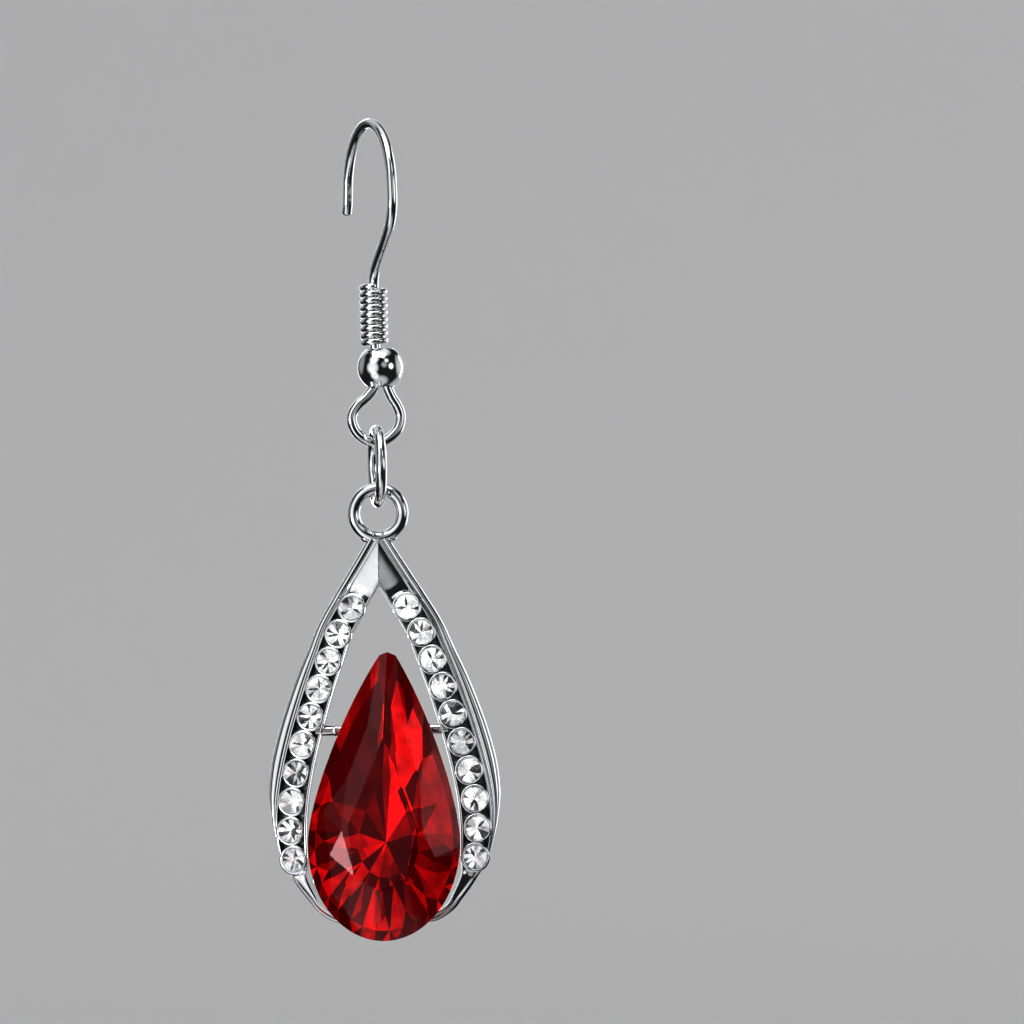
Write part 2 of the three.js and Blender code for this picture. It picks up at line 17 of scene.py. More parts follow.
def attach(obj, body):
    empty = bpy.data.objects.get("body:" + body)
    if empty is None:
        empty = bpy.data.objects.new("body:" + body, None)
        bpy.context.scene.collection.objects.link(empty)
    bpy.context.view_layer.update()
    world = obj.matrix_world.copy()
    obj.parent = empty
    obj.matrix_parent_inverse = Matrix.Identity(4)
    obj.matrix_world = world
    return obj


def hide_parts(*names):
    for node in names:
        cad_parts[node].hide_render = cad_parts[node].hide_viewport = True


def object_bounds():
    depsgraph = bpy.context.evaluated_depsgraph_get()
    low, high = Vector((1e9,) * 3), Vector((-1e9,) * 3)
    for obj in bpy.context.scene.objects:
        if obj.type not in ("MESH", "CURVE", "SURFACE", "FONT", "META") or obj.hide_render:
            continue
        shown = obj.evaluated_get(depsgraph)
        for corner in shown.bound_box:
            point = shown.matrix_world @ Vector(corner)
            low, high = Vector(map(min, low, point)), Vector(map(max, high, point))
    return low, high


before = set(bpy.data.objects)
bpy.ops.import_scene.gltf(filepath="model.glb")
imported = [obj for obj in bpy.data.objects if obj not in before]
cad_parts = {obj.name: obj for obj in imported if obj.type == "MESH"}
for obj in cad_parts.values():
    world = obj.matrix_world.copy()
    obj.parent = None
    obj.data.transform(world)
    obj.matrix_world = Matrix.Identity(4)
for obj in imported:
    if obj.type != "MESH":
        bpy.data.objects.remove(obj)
cad_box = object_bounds()
box_in_mm = [[round(1000 * v, 2) for v in corner] for corner in cad_box]
print("solids:", len(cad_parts), "box in mm:", box_in_mm)

# %% [markdown]
# ## Tools for wires and castings
# Every wire of the earring is a round section that follows a path. A path is given by a few
# points, and a centripetal curve runs through them, because it makes no loops or overshoots in
# tight bends.

# %% Smooth curves
MM = 0.001
TINY = 1e-9


def curve_value(rows, at):
    """The value of a smooth curve through rows of numbers; at runs from 0 to 1."""
    spans = len(rows) - 1
    place = min(at * spans, spans - TINY)
    i = int(place)
    t = place - i
    p1, p2 = Vector(rows[i]), Vector(rows[i + 1])
    p0 = Vector(rows[i - 1]) if i > 0 else 2 * p1 - p2
    p3 = Vector(rows[i + 2]) if i + 2 <= spans else 2 * p2 - p1
    d0, d1, d2 = [max((b - a).length, TINY) ** 0.5 for a, b in ((p0, p1), (p1, p2), (p2, p3))]
    m1 = ((p1 - p0) / d0 - (p2 - p0) / (d0 + d1) + (p2 - p1) / d1) * d1
    m2 = ((p2 - p1) / d1 - (p3 - p1) / (d1 + d2) + (p3 - p2) / d2) * d1
    bend = 3 * (p2 - p1) - 2 * m1 - m2
    return p1 + t * m1 + t * t * bend + t ** 3 * (2 * (p1 - p2) + m1 + m2)


def curve_through(rows, steps):
    return [curve_value(rows, i / steps) for i in range(steps + 1)]


print("curves ready")

# %% [markdown]
# A wire starts as a circle. The circle is extruded from point to point of the path, and each new
# ring is turned with the path, so the wire never twists. Extruding keeps the faces in clean
# strips. The two ends get a few smaller rings, because a real wire is filed round.

# %% Sweep a round wire
UP = Vector((0, 0, 1))
END_ANGLES, END_REACH = (30, 55, 75), 0.6


def path_frames(path):
    """One matrix for each point of the path: Z along the path, X and Y across it."""
    last = len(path) - 1
    spans = [path[min(i + 1, last)] - path[max(i - 1, 0)] for i in range(last + 1)]
    tangents = [span.normalized() for span in spans]
    turn = UP.rotation_difference(tangents[0])
    frames = []
    for point, tangent in zip(path, tangents):
        along = turn @ UP
        turn = along.rotation_difference(tangent) @ turn
        frames.append(Matrix.Translation(point) @ turn.to_matrix().to_4x4())
    return frames


def extrude_once(bm, edges):
    """Extrudes a ring of edges where it is; returns the new edges and their points."""
    made = bmesh.ops.extrude_edge_only(bm, edges=edges)["geom"]
    edges = [g for g in made if isinstance(g, bmesh.types.BMEdge) and g.is_boundary]
    return edges, [g for g in made if isinstance(g, bmesh.types.BMVert)]


def sweep_wire(bm, path, diameter, sides):
    """A round wire along the path, its two ends rounded off."""
    frames = path_frames(path)
    stations = [(f, 1.0) for f in frames]
    for angle in END_ANGLES:
        a = radians(angle)
        beyond = Matrix.Translation((0, 0, diameter / 2 * sin(a) * END_REACH))
        stations.append((frames[-1] @ beyond, cos(a)))
        stations.insert(0, (frames[0] @ beyond.inverted(), cos(a)))
    placed = [f @ Matrix.Scale(s, 4) for f, s in stations]
    circle = bmesh.ops.create_circle(bm, cap_ends=True, radius=diameter / 2, segments=sides,
                                     matrix=placed[0])
    edges = list({e for v in circle["verts"] for e in v.link_edges})
    for before, after in zip(placed, placed[1:]):
        edges, moved = extrude_once(bm, edges)
        bmesh.ops.transform(bm, matrix=after @ before.inverted(), verts=moved)
    bmesh.ops.contextual_create(bm, geom=edges)


print("wire sweep ready")

# %% [markdown]
# A piece is finished the same way each time: doubles are merged, the faces are turned outward,
# and the mesh is smooth except along true edges. The piece then rides on its body and stands for
# its solid. A cut stone is given no sharp angle, and all its faces stay flat.

# %% Finish a piece
MERGE_DISTANCE, WIRE_SHARP, CASTING_SHARP = 0.0005 * MM, 35.0, 40.0


def object_from(name, bm, materials):
    """Puts a finished bmesh into the scene as an object."""
    mesh = bpy.data.meshes.new(name)
    bm.to_mesh(mesh)
    bm.free()
    for material in materials:
        mesh.materials.append(material)
    piece = bpy.data.objects.new(name, mesh)
    bpy.context.scene.collection.objects.link(piece)
    return piece


def finish_piece(name, bm, body, nodes, materials, sharp=WIRE_SHARP):
    bmesh.ops.remove_doubles(bm, verts=bm.verts, dist=MERGE_DISTANCE)
    bmesh.ops.recalc_face_normals(bm, faces=bm.faces)
    for face in bm.faces:
        face.smooth = sharp is not None
    piece = object_from(name, bm, materials)
    if sharp is not None:
        piece.data.set_sharp_from_angle(angle=radians(sharp))
    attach(piece, body)
    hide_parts(*nodes)
    print(name, len(piece.data.polygons), "faces")


print("pieces merge doubles closer than", MERGE_DISTANCE / MM, "mm")

# %% [markdown]
# ## Finishes
# All metal shares one small effect. Worn polish gives a plated surface the faint marks of
# handling: soft cloudy patches and fine hairlines, which change how sharp the reflections are.
# It is a node group, so that each material sets its own values.

# %% Shared effect: worn polish
POLISH_VALUES = {"Patch Scale": 700.0, "Base Roughness": 0.05, "Worn Roughness": 0.14,
                 "Dent Strength": 0.10}


def add_node(nodes, kind, values=()):
    """A new node, with values for some of its inputs."""
    node = nodes.new(kind)
    for socket, value in dict(values).items():
        node.inputs[socket].default_value = value
    return node


def group_sockets(tree):
    for name, value in POLISH_VALUES.items():
        socket = tree.interface.new_socket(name=name, in_out="INPUT", socket_type="NodeSocketFloat")
        socket.default_value = value
    for name, kind in {"Roughness": "Float", "Tone": "Float", "Normal": "Vector"}.items():
        tree.interface.new_socket(name=name, in_out="OUTPUT", socket_type="NodeSocket" + kind)


def worn_polish_group():
    tree = bpy.data.node_groups.new("worn_polish", "ShaderNodeTree")
    group_sockets(tree)
    nodes, links = tree.nodes, tree.links
    given = nodes.new("NodeGroupInput")
    result = nodes.new("NodeGroupOutput")
    place = nodes.new("ShaderNodeTexCoord")
    patches = add_node(nodes, "ShaderNodeTexNoise", {"Detail": 4.0, "Roughness": 0.62})
    links.new(place.outputs["Object"], patches.inputs["Vector"])
    links.new(given.outputs["Patch Scale"], patches.inputs["Scale"])
    stretched = {"Rotation": (0.4, 0.9, 0.3), "Scale": (1.0, 1.0, 0.06)}
    stretch = add_node(nodes, "ShaderNodeMapping", stretched)
    links.new(place.outputs["Object"], stretch.inputs["Vector"])
    hairlines = add_node(nodes, "ShaderNodeTexNoise", {"Scale": 9000.0, "Detail": 2.0})
    links.new(stretch.outputs["Vector"], hairlines.inputs["Vector"])
    wear = add_node(nodes, "ShaderNodeMapRange", {"From Min": 0.42, "From Max": 0.72})
    links.new(patches.outputs["Fac"], wear.inputs["Value"])
    lines = add_node(nodes, "ShaderNodeMapRange", {"From Min": 0.60, "From Max": 0.80})
    links.new(hairlines.outputs["Fac"], lines.inputs["Value"])
    both = nodes.new("ShaderNodeMath")
    both.operation = "MAXIMUM"
    links.new(wear.outputs["Result"], both.inputs[0])
    links.new(lines.outputs["Result"], both.inputs[1])
    spread = nodes.new("ShaderNodeMapRange")
    links.new(both.outputs["Value"], spread.inputs["Value"])
    links.new(given.outputs["Base Roughness"], spread.inputs["To Min"])
    links.new(given.outputs["Worn Roughness"], spread.inputs["To Max"])
    dents = add_node(nodes, "ShaderNodeBump", {"Distance": 0.02 * MM})
    links.new(given.outputs["Dent Strength"], dents.inputs["Strength"])
    links.new(patches.outputs["Fac"], dents.inputs["Height"])
    links.new(spread.outputs["Result"], result.inputs["Roughness"])
    links.new(both.outputs["Value"], result.inputs["Tone"])
    links.new(dents.outputs["Normal"], result.inputs["Normal"])
    return tree


worn_polish = worn_polish_group()
print("shared groups:", [g.name for g in bpy.data.node_groups])

# %% [markdown]
# ### Bright plating and dark recesses
# All the metal has one bright, slightly cool plating. Down in the pits between the stones and in
# the groove beside the rim the metal is painted dark: painted shade. The inner side walls are
# painted a dark brownish red: painted shade with a painted reflection of the red stone. All are one
# recipe with other colours: metal whose colour and roughness vary with the wear.

# %% Metal finishes
def new_material(name):
    """A node material, its nodes, its links and its shader."""
    material = bpy.data.materials.new(name)
    material.use_nodes = True
    tree = material.node_tree
    return material, tree.nodes, tree.links, tree.nodes["Principled BSDF"]


def mixed_colour(nodes, links, factor, low, high):
    """A colour that goes from low to high with a factor that changes over the surface."""
    tone = nodes.new("ShaderNodeMix")
    tone.data_type = "RGBA"
    tone.inputs["A"].default_value = (*low, 1.0)
    tone.inputs["B"].default_value = (*high, 1.0)
    links.new(factor, tone.inputs["Factor"])
    return tone.outputs["Result"]


def metal_finish(name, clean, worn, *polish_values):
    material, nodes, links, shader = new_material(name)
    shader.inputs["Metallic"].default_value = 1.0
    polish = nodes.new("ShaderNodeGroup")
    polish.node_tree = worn_polish
    for socket, value in zip(POLISH_VALUES, polish_values):
        polish.inputs[socket].default_value = value
    tone = mixed_colour(nodes, links, polish.outputs["Tone"], clean, worn)
    links.new(tone, shader.inputs["Base Color"])
    links.new(polish.outputs["Roughness"], shader.inputs["Roughness"])
    links.new(polish.outputs["Normal"], shader.inputs["Normal"])
    return material


# Columns: clean colour, worn colour, patch scale, base roughness, worn roughness, dent strength
METALS = {
    "bright_plating": ((0.93, 0.94, 0.96), (0.84, 0.85, 0.87), 600.0, 0.035, 0.10, 0.06),
    "cast_plating": ((0.92, 0.93, 0.95), (0.82, 0.83, 0.86), 900.0, 0.06, 0.16, 0.12),
    # painted shade for the pits between the stones and the groove beside the rim
    "recess_painted_shade": ((0.10, 0.10, 0.11), (0.04, 0.04, 0.045), 1500.0, 0.25, 0.45, 0.3),
    # painted shade and a painted reflection of the red stone on the inner side wall
    "side_wall_painted_shade_and_reflection": ((0.10, 0.065, 0.062), (0.04, 0.022, 0.022), 1100.0, 0.22, 0.40, 0.2),
}
plating, cast_plating, recess, side_wall_painted_shade_and_reflection = [metal_finish(n, *row) for n, row in METALS.items()]
print("metal finishes:", list(METALS))

# %% [markdown]
# ### Stones with a foil back
# A cheap jewel stone is glass with a mirror foil on its back facets. Light goes in through the
# front, bounces between the foil facets and leaves with the colour of the glass. So each stone
# gets two finishes. The first is clear glass for the crown. It isn't rough at all, because rough
# glass would turn the sharp facets behind it into grain, and only its tint is a little uneven.

# %% Glass of the stones
HAZE_SCALE, HAZE_SHARE = 500.0, 0.92


def glass_finish(name, colour, ior, sheen):
    material, nodes, links, shader = new_material(name)
    shader.inputs["Transmission Weight"].default_value = 1.0
    shader.inputs["Roughness"].default_value = 0.0
    shader.inputs["IOR"].default_value = ior
    shader.inputs["Specular Tint"].default_value = (*sheen, 1.0)
    place = nodes.new("ShaderNodeTexCoord")
    haze = add_node(nodes, "ShaderNodeTexNoise", {"Scale": HAZE_SCALE, "Detail": 3.0})
    links.new(place.outputs["Object"], haze.inputs["Vector"])
    hazy = [HAZE_SHARE * c for c in colour]
    tint = mixed_colour(nodes, links, haze.outputs["Fac"], colour, hazy)
    links.new(tint, shader.inputs["Base Color"])
    return material


red_glass = glass_finish("red_glass", (0.95, 0.12, 0.13), 1.60, (0.62, 0.26, 0.27))
clear_glass = glass_finish("clear_glass", (0.97, 0.98, 1.0), 1.60, (1.0, 1.0, 1.0))
print("glass finishes:", red_glass.name, clear_glass.name)

# %% [markdown]
# The second finish is a metal foil for the facets of the back, with painted light on it. A real
# stone sends light to and fro many times, more than a render can follow, so each foil facet also
# has a painted light level of its own. The level is a number on the face. It paints the facet dark
# as painted shade, or lets it glow a little as a painted highlight where it would catch the light,
# and a soft noise keeps the facet from looking printed.

# %% Foil of the stones
MOTTLE_SCALE = 650.0
MOTTLE_RANGE = {"From Min": 0.35, "From Max": 0.65, "To Min": 0.45, "To Max": 1.20}


def painted_glow_foil_finish(name, bright, dull, metallic, roughness, glow):
    material, nodes, links, shader = new_material(name)
    shader.inputs["Metallic"].default_value = metallic
    shader.inputs["Roughness"].default_value = roughness
    # The emission is a painted glow: the foil is no lamp.
    shader.inputs["Emission Strength"].default_value = glow
    # each facet's painted light and shade level
    facet = nodes.new("ShaderNodeAttribute")
    facet.attribute_name = "facet_painted_light"
    place = nodes.new("ShaderNodeTexCoord")
    mottle = add_node(nodes, "ShaderNodeTexNoise", {"Scale": MOTTLE_SCALE, "Detail": 5.0})
    links.new(place.outputs["Object"], mottle.inputs["Vector"])
    uneven = add_node(nodes, "ShaderNodeMapRange", MOTTLE_RANGE)
    links.new(mottle.outputs["Fac"], uneven.inputs["Value"])
    level = nodes.new("ShaderNodeMath")
    level.operation = "MULTIPLY"
    level.use_clamp = True
    links.new(facet.outputs["Fac"], level.inputs[0])
    links.new(uneven.outputs["Result"], level.inputs[1])
    tone = mixed_colour(nodes, links, level.outputs["Value"], dull, bright)
    links.new(tone, shader.inputs["Base Color"])
    links.new(tone, shader.inputs["Emission Color"])
    return material


# Both foils carry painted shade on their dull facets and a painted glow on their bright ones.
red_foil_painted_glow = painted_glow_foil_finish("red_foil_painted_glow", (1.0, 0.010, 0.014), (0.03, 0.0, 0.001), 1.0, 0.05, 1.05)
silver_foil_painted_glow = painted_glow_foil_finish("silver_foil_painted_glow", (1.0, 1.0, 1.0), (0.02, 0.02, 0.025), 1.0, 0.04, 0.85)
print("foil finishes:", red_foil_painted_glow.name, silver_foil_painted_glow.name)

# %% [markdown]
# ## The hook
# The hook is one wire: a short tail, a round arch, an S-curve down to the stem, then the eye and
# the end that goes back up into the bead. It lies in one plane, turned 25 degrees from the
# pendant's side view. The eye is bent across that plane. The points are those of the solid, and
# a wire sweep suits them better than a bevelled curve, because its ends can be rounded.

# %% Points of the hook
WIRE, HOOK_TURN = 0.70, 25.0
ARCH_RADIUS, ARCH_BEHIND_STEM, ARCH_STEP = 4.70, 0.40, 15
TAIL_DROP, TAIL_FLICK, SWEEP_HEIGHT, STEM_BOTTOM = 1.10, 0.30, 6.30, 17.35
# Columns: down, out, as shares of the sweep's height and reach
SWEEP = [(0.20, 0.99), (0.38, 0.86), (0.55, 0.60), (0.72, 0.29), (0.86, 0.08), (1.00, 0.00)]


def hook_point(forward, across, up):
    turn = radians(HOOK_TURN)
    x = forward * sin(turn) + across * cos(turn)
    y = across * sin(turn) - forward * cos(turn)
    return Vector((x, y, up)) * MM


def arch_points():
    """From the end of the tail over the arch and down the S-curve to the middle of the stem."""
    middle = WIRE / 2 - ARCH_RADIUS
    back = -ARCH_BEHIND_STEM - ARCH_RADIUS
    reach = ARCH_RADIUS - ARCH_BEHIND_STEM
    stem_top = middle - SWEEP_HEIGHT
    points = [hook_point(back - TAIL_FLICK, 0, middle - TAIL_DROP),
              hook_point(back - TAIL_FLICK / 4, 0, middle - TAIL_DROP / 2)]
    for angle in range(180, -1, -ARCH_STEP):
        a = radians(angle)
        forward = ARCH_RADIUS * cos(a) - ARCH_BEHIND_STEM
        points.append(hook_point(forward, 0, middle + ARCH_RADIUS * sin(a)))
    points += [hook_point(reach * out, 0, middle - SWEEP_HEIGHT * down) for down, out in SWEEP]
    return points + [hook_point(0, 0, (stem_top - STEM_BOTTOM) / 2)]


print("points of the arch:", len(arch_points()))

# %% [markdown]
# The eye is shaped like an onion. Its two sides aren't alike, because one side comes straight
# down from the stem and the other goes back up beside it, so each side has its own column.

# %% Ear hook
HOOK_STEPS, HOOK_SIDES = 420, 28
RETURN_OFFSET, RETURN_HEIGHT, EYE_HEIGHT, EYE_HALF_WIDTH = 0.80, 1.60, 4.05, 1.76
# Columns: down, left, right, as shares of the eye's height and half width
EYE = [(0.235, 0.37, 0.66), (0.38, 0.76, 0.87), (0.56, 1.0, 1.0), (0.77, 0.88, 0.88),
       (0.93, 0.50, 0.50)]


def eye_points():
    """From the stem down the left side of the eye, up its right side and into the bead."""
    left_side = [(down, -left) for down, left, _ in EYE]
    right_side = [(down, right) for down, _, right in reversed(EYE)]
    sides = [(0, 0), *left_side, (1, 0), *right_side]
    points = [hook_point(0, EYE_HALF_WIDTH * out, -STEM_BOTTOM - EYE_HEIGHT * down)
              for down, out in sides]
    return points + [hook_point(0, RETURN_OFFSET, -STEM_BOTTOM),
                     hook_point(0, RETURN_OFFSET, RETURN_HEIGHT - STEM_BOTTOM)]


bm = bmesh.new()
sweep_wire(bm, curve_through(arch_points() + eye_points(), HOOK_STEPS), WIRE * MM, HOOK_SIDES)
finish_piece("ear_wire_hook", bm, "ear_wire", ["ear_hook"], [plating])

# %% [markdown]
# ## The coil
# A thinner wire is wound round the stem above the bead, a little over eight turns with hair-wide
# gaps. Its path is a helix, whose points come from sine and cosine, and the same wire sweep
# makes it.

# %% Coil
COIL_WIRE, COIL_DIAMETER, COIL_PITCH, COIL_TURNS, COIL_GAP = 0.43, 1.94, 0.47, 8.2, 0.10
COIL_START, COIL_STEPS_PER_TURN, COIL_SIDES = 180, 44, 16
BEAD_DIAMETER, BEAD_HOLE, BEAD_EYE_GAP = 3.15, 1.80, 0.24
bead_half_height = sqrt((BEAD_DIAMETER / 2) ** 2 - (BEAD_HOLE / 2) ** 2)
bead_middle = -STEM_BOTTOM - BEAD_EYE_GAP + bead_half_height


def coil_path():
    helix = (COIL_DIAMETER - COIL_WIRE) / 2
    contact = BEAD_DIAMETER / 2 + COIL_WIRE / 2 + COIL_GAP
    bottom = bead_middle + sqrt(contact ** 2 - RETURN_OFFSET ** 2 / 4 - helix ** 2)
    points = []
    for i in range(round(COIL_TURNS * COIL_STEPS_PER_TURN) + 1):
        turns = i / COIL_STEPS_PER_TURN
        angle = radians(COIL_START + HOOK_TURN + 360 * turns)
        up = bottom + COIL_PITCH * turns
        points.append(Vector((helix * cos(angle), helix * sin(angle), up)) * MM)
    return points


bm = bmesh.new()
sweep_wire(bm, coil_path(), COIL_WIRE * MM, COIL_SIDES)
finish_piece("stem_coil", bm, "ear_wire", ["hook_coil"], [plating])

# %% [markdown]
# ## The ball bead
# The bead is turned: half a profile is spun once round. The profile runs over the ball and back
# down the wall of the hole, with a small bevelled lip at each end, so both openings look drilled
# and polished.

# %% Ball bead
BEAD_LIP, BEAD_HALF_ROWS, BEAD_STEPS = 0.05, 20, 64


def join_shape(bm, shape, matrix):
    """Adds a small mesh of its own to a piece, at the matrix's place."""
    mesh = bpy.data.meshes.new("shape")
    shape.to_mesh(mesh)
    shape.free()
    mesh.transform(matrix)
    bm.from_mesh(mesh)
    bpy.data.meshes.remove(mesh)


def spin_once(bm, geom, steps):
    """Spins edges once round the Z axis and joins the seam."""
    bmesh.ops.spin(bm, geom=geom, cent=(0, 0, 0), axis=(0, 0, 1), dvec=(0, 0, 0), angle=2 * pi,
                   steps=steps, use_merge=True, use_duplicate=False)


def spin_profile(bm, profile, steps, matrix):
    """Spins a closed profile, (radius, height) in millimetres, round the matrix's Z axis."""
    shape = bmesh.new()
    verts = [shape.verts.new(Vector((r, 0, h)) * MM) for r, h in profile]
    edges = [shape.edges.new((a, b)) for a, b in zip(verts, verts[1:] + verts[:1])]
    spin_once(shape, verts + edges, steps)
    join_shape(bm, shape, matrix)


def bead_profile():
    radius, hole = BEAD_DIAMETER / 2, BEAD_HOLE / 2
    edge = asin(bead_half_height / radius)
    angles = [edge * (i / BEAD_HALF_ROWS - 1) for i in range(1, 2 * BEAD_HALF_ROWS)]
    ball = [(radius * cos(a), radius * sin(a)) for a in angles]
    top = [(hole + BEAD_LIP, bead_half_height), (hole, bead_half_height - BEAD_LIP)]
    bottom = [(r, -h) for r, h in reversed(top)]
    return ball + top + bottom


bm = bmesh.new()
bead_place = Matrix.Translation(hook_point(0, RETURN_OFFSET / 2, bead_middle))
spin_profile(bm, bead_profile(), BEAD_STEPS, bead_place)
finish_piece("polished_bead", bm, "ear_wire", ["ball_bead"], [plating])

# %% [markdown]
# ## The jump ring
# A plain ring of round wire links the eye to the pendant. A circle is spun round the ring's own
# axis. The ring stands across the eye, turned 13 degrees, so the photo shows it almost edge-on.

# %% Jump ring
LINK_GAP, JUMP_RING_RADIUS, JUMP_RING_WIRE, RING_TURN = 0.13, 2.46, 0.76, 13.0
TOP_RING_RADIUS, TOP_RING_WIRE, RING_STEPS, RING_SIDES = 1.66, 0.84, 96, 24
eye_bottom = -STEM_BOTTOM - EYE_HEIGHT
jump_ring_middle = eye_bottom + (WIRE + JUMP_RING_WIRE) / 2 + LINK_GAP - JUMP_RING_RADIUS
wires_apart = (JUMP_RING_WIRE + TOP_RING_WIRE) / 2
top_ring_top = jump_ring_middle - JUMP_RING_RADIUS + wires_apart + LINK_GAP
top_ring_middle = top_ring_top - TOP_RING_RADIUS


def add_ring(bm, radius, wire, matrix):
    """A ring of round wire round the matrix's Z axis, sizes in millimetres."""
    angles = [2 * pi * i / RING_SIDES for i in range(RING_SIDES)]
    circle = [(radius + wire / 2 * cos(a), wire / 2 * sin(a)) for a in angles]
    spin_profile(bm, circle, RING_STEPS, matrix)


bm = bmesh.new()
upright = Matrix.Rotation(radians(90), 4, "X")
ring_place = Matrix.Translation((0, 0, jump_ring_middle * MM))
ring_place = ring_place @ Matrix.Rotation(radians(90 + RING_TURN), 4, "Z") @ upright
add_ring(bm, JUMP_RING_RADIUS, JUMP_RING_WIRE, ring_place)
finish_piece("link_ring", bm, "link_ring", ["jump_ring"], [plating])

# %% [markdown]
# ## The pendant's frame
# Each arm is one long casting with a changing section: a plain V plate at the top, then a band
# with a thin rail on each side and a sunken floor, with a polished rim outside it, and last a
# plain tail that ends behind the stone. A section is drawn once and extruded from station to
# station, and at each station its points move to the widths that a smooth table gives there.

# %% Table of the arm
APEX_OVERLAP, FRAME_HEIGHT, FRAME_HALF_WIDTH, RIM_REACH = 0.20, 26.80, 7.93, 2.12
BAND_HALF_WIDTH, BAND_THICKNESS, BAND_FORWARD, BAND_TILT = 1.10, 1.25, 0.60, 14.0
RAIL_HEIGHT, RIM_DROP = 0.16, 0.30
frame_top = top_ring_middle - TOP_RING_RADIUS - APEX_OVERLAP
# Columns: down, out, inner, edge, outer, rail, crest, as shares of the named sizes
ARM = [
    (0.002, -0.091, 0.78, 0.72, 0.690, 0.15, 0.30),
    (0.049, 0.000, 0.78, 0.74, 0.700, 0.15, 0.30),
    (0.110, 0.120, 0.78, 0.80, 0.735, 0.15, 0.20),
    (0.170, 0.236, 0.80, 0.87, 0.780, 1.00, 0.00),
    (0.233, 0.353, 0.82, 0.92, 0.818, 1.00, -0.20),
    (0.297, 0.436, 0.87, 0.94, 0.862, 1.00, -0.40),
    (0.364, 0.521, 0.91, 0.95, 0.928, 1.00, -0.50),
    (0.435, 0.602, 0.96, 0.96, 0.974, 1.00, -0.60),
    (0.502, 0.672, 1.00, 0.96, 1.000, 1.00, -0.67),
    (0.573, 0.734, 1.03, 0.96, 1.000, 1.00, -0.73),
    (0.651, 0.784, 1.05, 0.96, 0.910, 1.00, -0.83),
    (0.728, 0.805, 1.05, 0.90, 0.684, 1.00, -0.95),
    (0.806, 0.781, 0.91, 0.72, 0.448, 1.00, -0.95),
    (0.856, 0.726, 0.51, 0.35, 0.267, 0.15, -0.40),
    (0.905, 0.631, 0.36, 0.18, 0.179, 0.15, -0.35),
    (0.933, 0.561, 0.28, 0.14, 0.146, 0.15, -0.30),
    (0.959, 0.416, 0.26, 0.12, 0.132, 0.15, -0.30),
    (0.959, 0.290, 0.24, 0.11, 0.123, 0.15, -0.30),
]
FIRST_STONE_ROW, LAST_STONE_ROW, STONES_PER_ARM = 3, 12, 10
arm_line = [(FRAME_HALF_WIDTH * r[1], -BAND_FORWARD, frame_top - FRAME_HEIGHT * r[0]) for r in ARM]
arm_widths = [(BAND_HALF_WIDTH * r[2], BAND_HALF_WIDTH * r[3], RIM_REACH * r[4]) for r in ARM]
arm_levels = [(RAIL_HEIGHT * r[5], RIM_DROP * r[6], r[5]) for r in ARM]
print("arm of", len(ARM), "stations from", round(frame_top, 2), "mm")

# %% [markdown]
# The section goes from the inner back edge over the front to the outer back edge. Rails and rim
# get several points each, so they catch the light as rounded, polished edges do.

# %% Rails and rim
RAIL_ROUNDING, KNEE_SHARE, EDGE_BEVEL = 0.045, 0.3, 0.10
CREST_STEP, CREST_DEPTH, CREST_FOOT = 15, 0.42, 0.1


def rail_points(low, high, top, floor_low, floor_high):
    """A rounded rail between two places across the band."""
    soft = min(RAIL_ROUNDING, (high - low) / 3)
    knee = KNEE_SHARE * soft
    return [(low, floor_low), (low, top - soft), (low + knee, top - knee), (low + soft, top),
            (high - soft, top), (high - knee, top - knee), (high, top - soft), (high, floor_high)]


def rim_points(start, width, crest, back):
    """The rounded crest of the rim, its outer side and the bevel at its back."""
    half, end, base = width / 2, start + width, crest - CREST_DEPTH
    points = []
    for angle in range(180 - CREST_STEP, 0, -CREST_STEP):
        a = radians(angle)
        points.append((start + half + half * cos(a), base + CREST_DEPTH * sin(a)))
    return points + [(end, base - CREST_FOOT), (end, back + EDGE_BEVEL), (end - EDGE_BEVEL, back)]


print("points of a rail:", len(rail_points(0, 1, 1, 0, 0)))
print("points of the rim:", len(rim_points(0, 1, 1, 0)))

# %% [markdown]
# The floor between the rails sinks where the stones stand. On the plain plate it is only a
# shallow trough, which spreads the reflections as a hand-polished plate does. The inner side
# wall leans back under the band, so the casting looks no thicker from the front than it is.

# %% Section of the arm
RAIL_WIDTH, RAIL_FOOT, GROOVE_WIDTH, GROOVE_DEPTH, PLAIN_LEVEL = 0.12, -0.15, 0.08, 0.34, 0.15
PIT_DEPTH, UNDERCUT, TROUGH, FLOOR_STRIPS, NUDGE = 0.50, 0.30, 0.06, 20, 1e-4


def arm_axes(at):
    """The band's middle point, its direction, the way out across it and out of its face."""
    before, after = max(at - NUDGE, 0), min(at + NUDGE, 1)
    point = curve_value(arm_line, at)
    along = (curve_value(arm_line, after) - curve_value(arm_line, before)).normalized()
    across = Vector((-along.z, 0, along.x))
    tilt = radians(BAND_TILT)
    face = Vector((0, -cos(tilt), 0)) + across * sin(tilt)
    outward = across * cos(tilt) + Vector((0, sin(tilt), 0))
    return point, along, outward, face


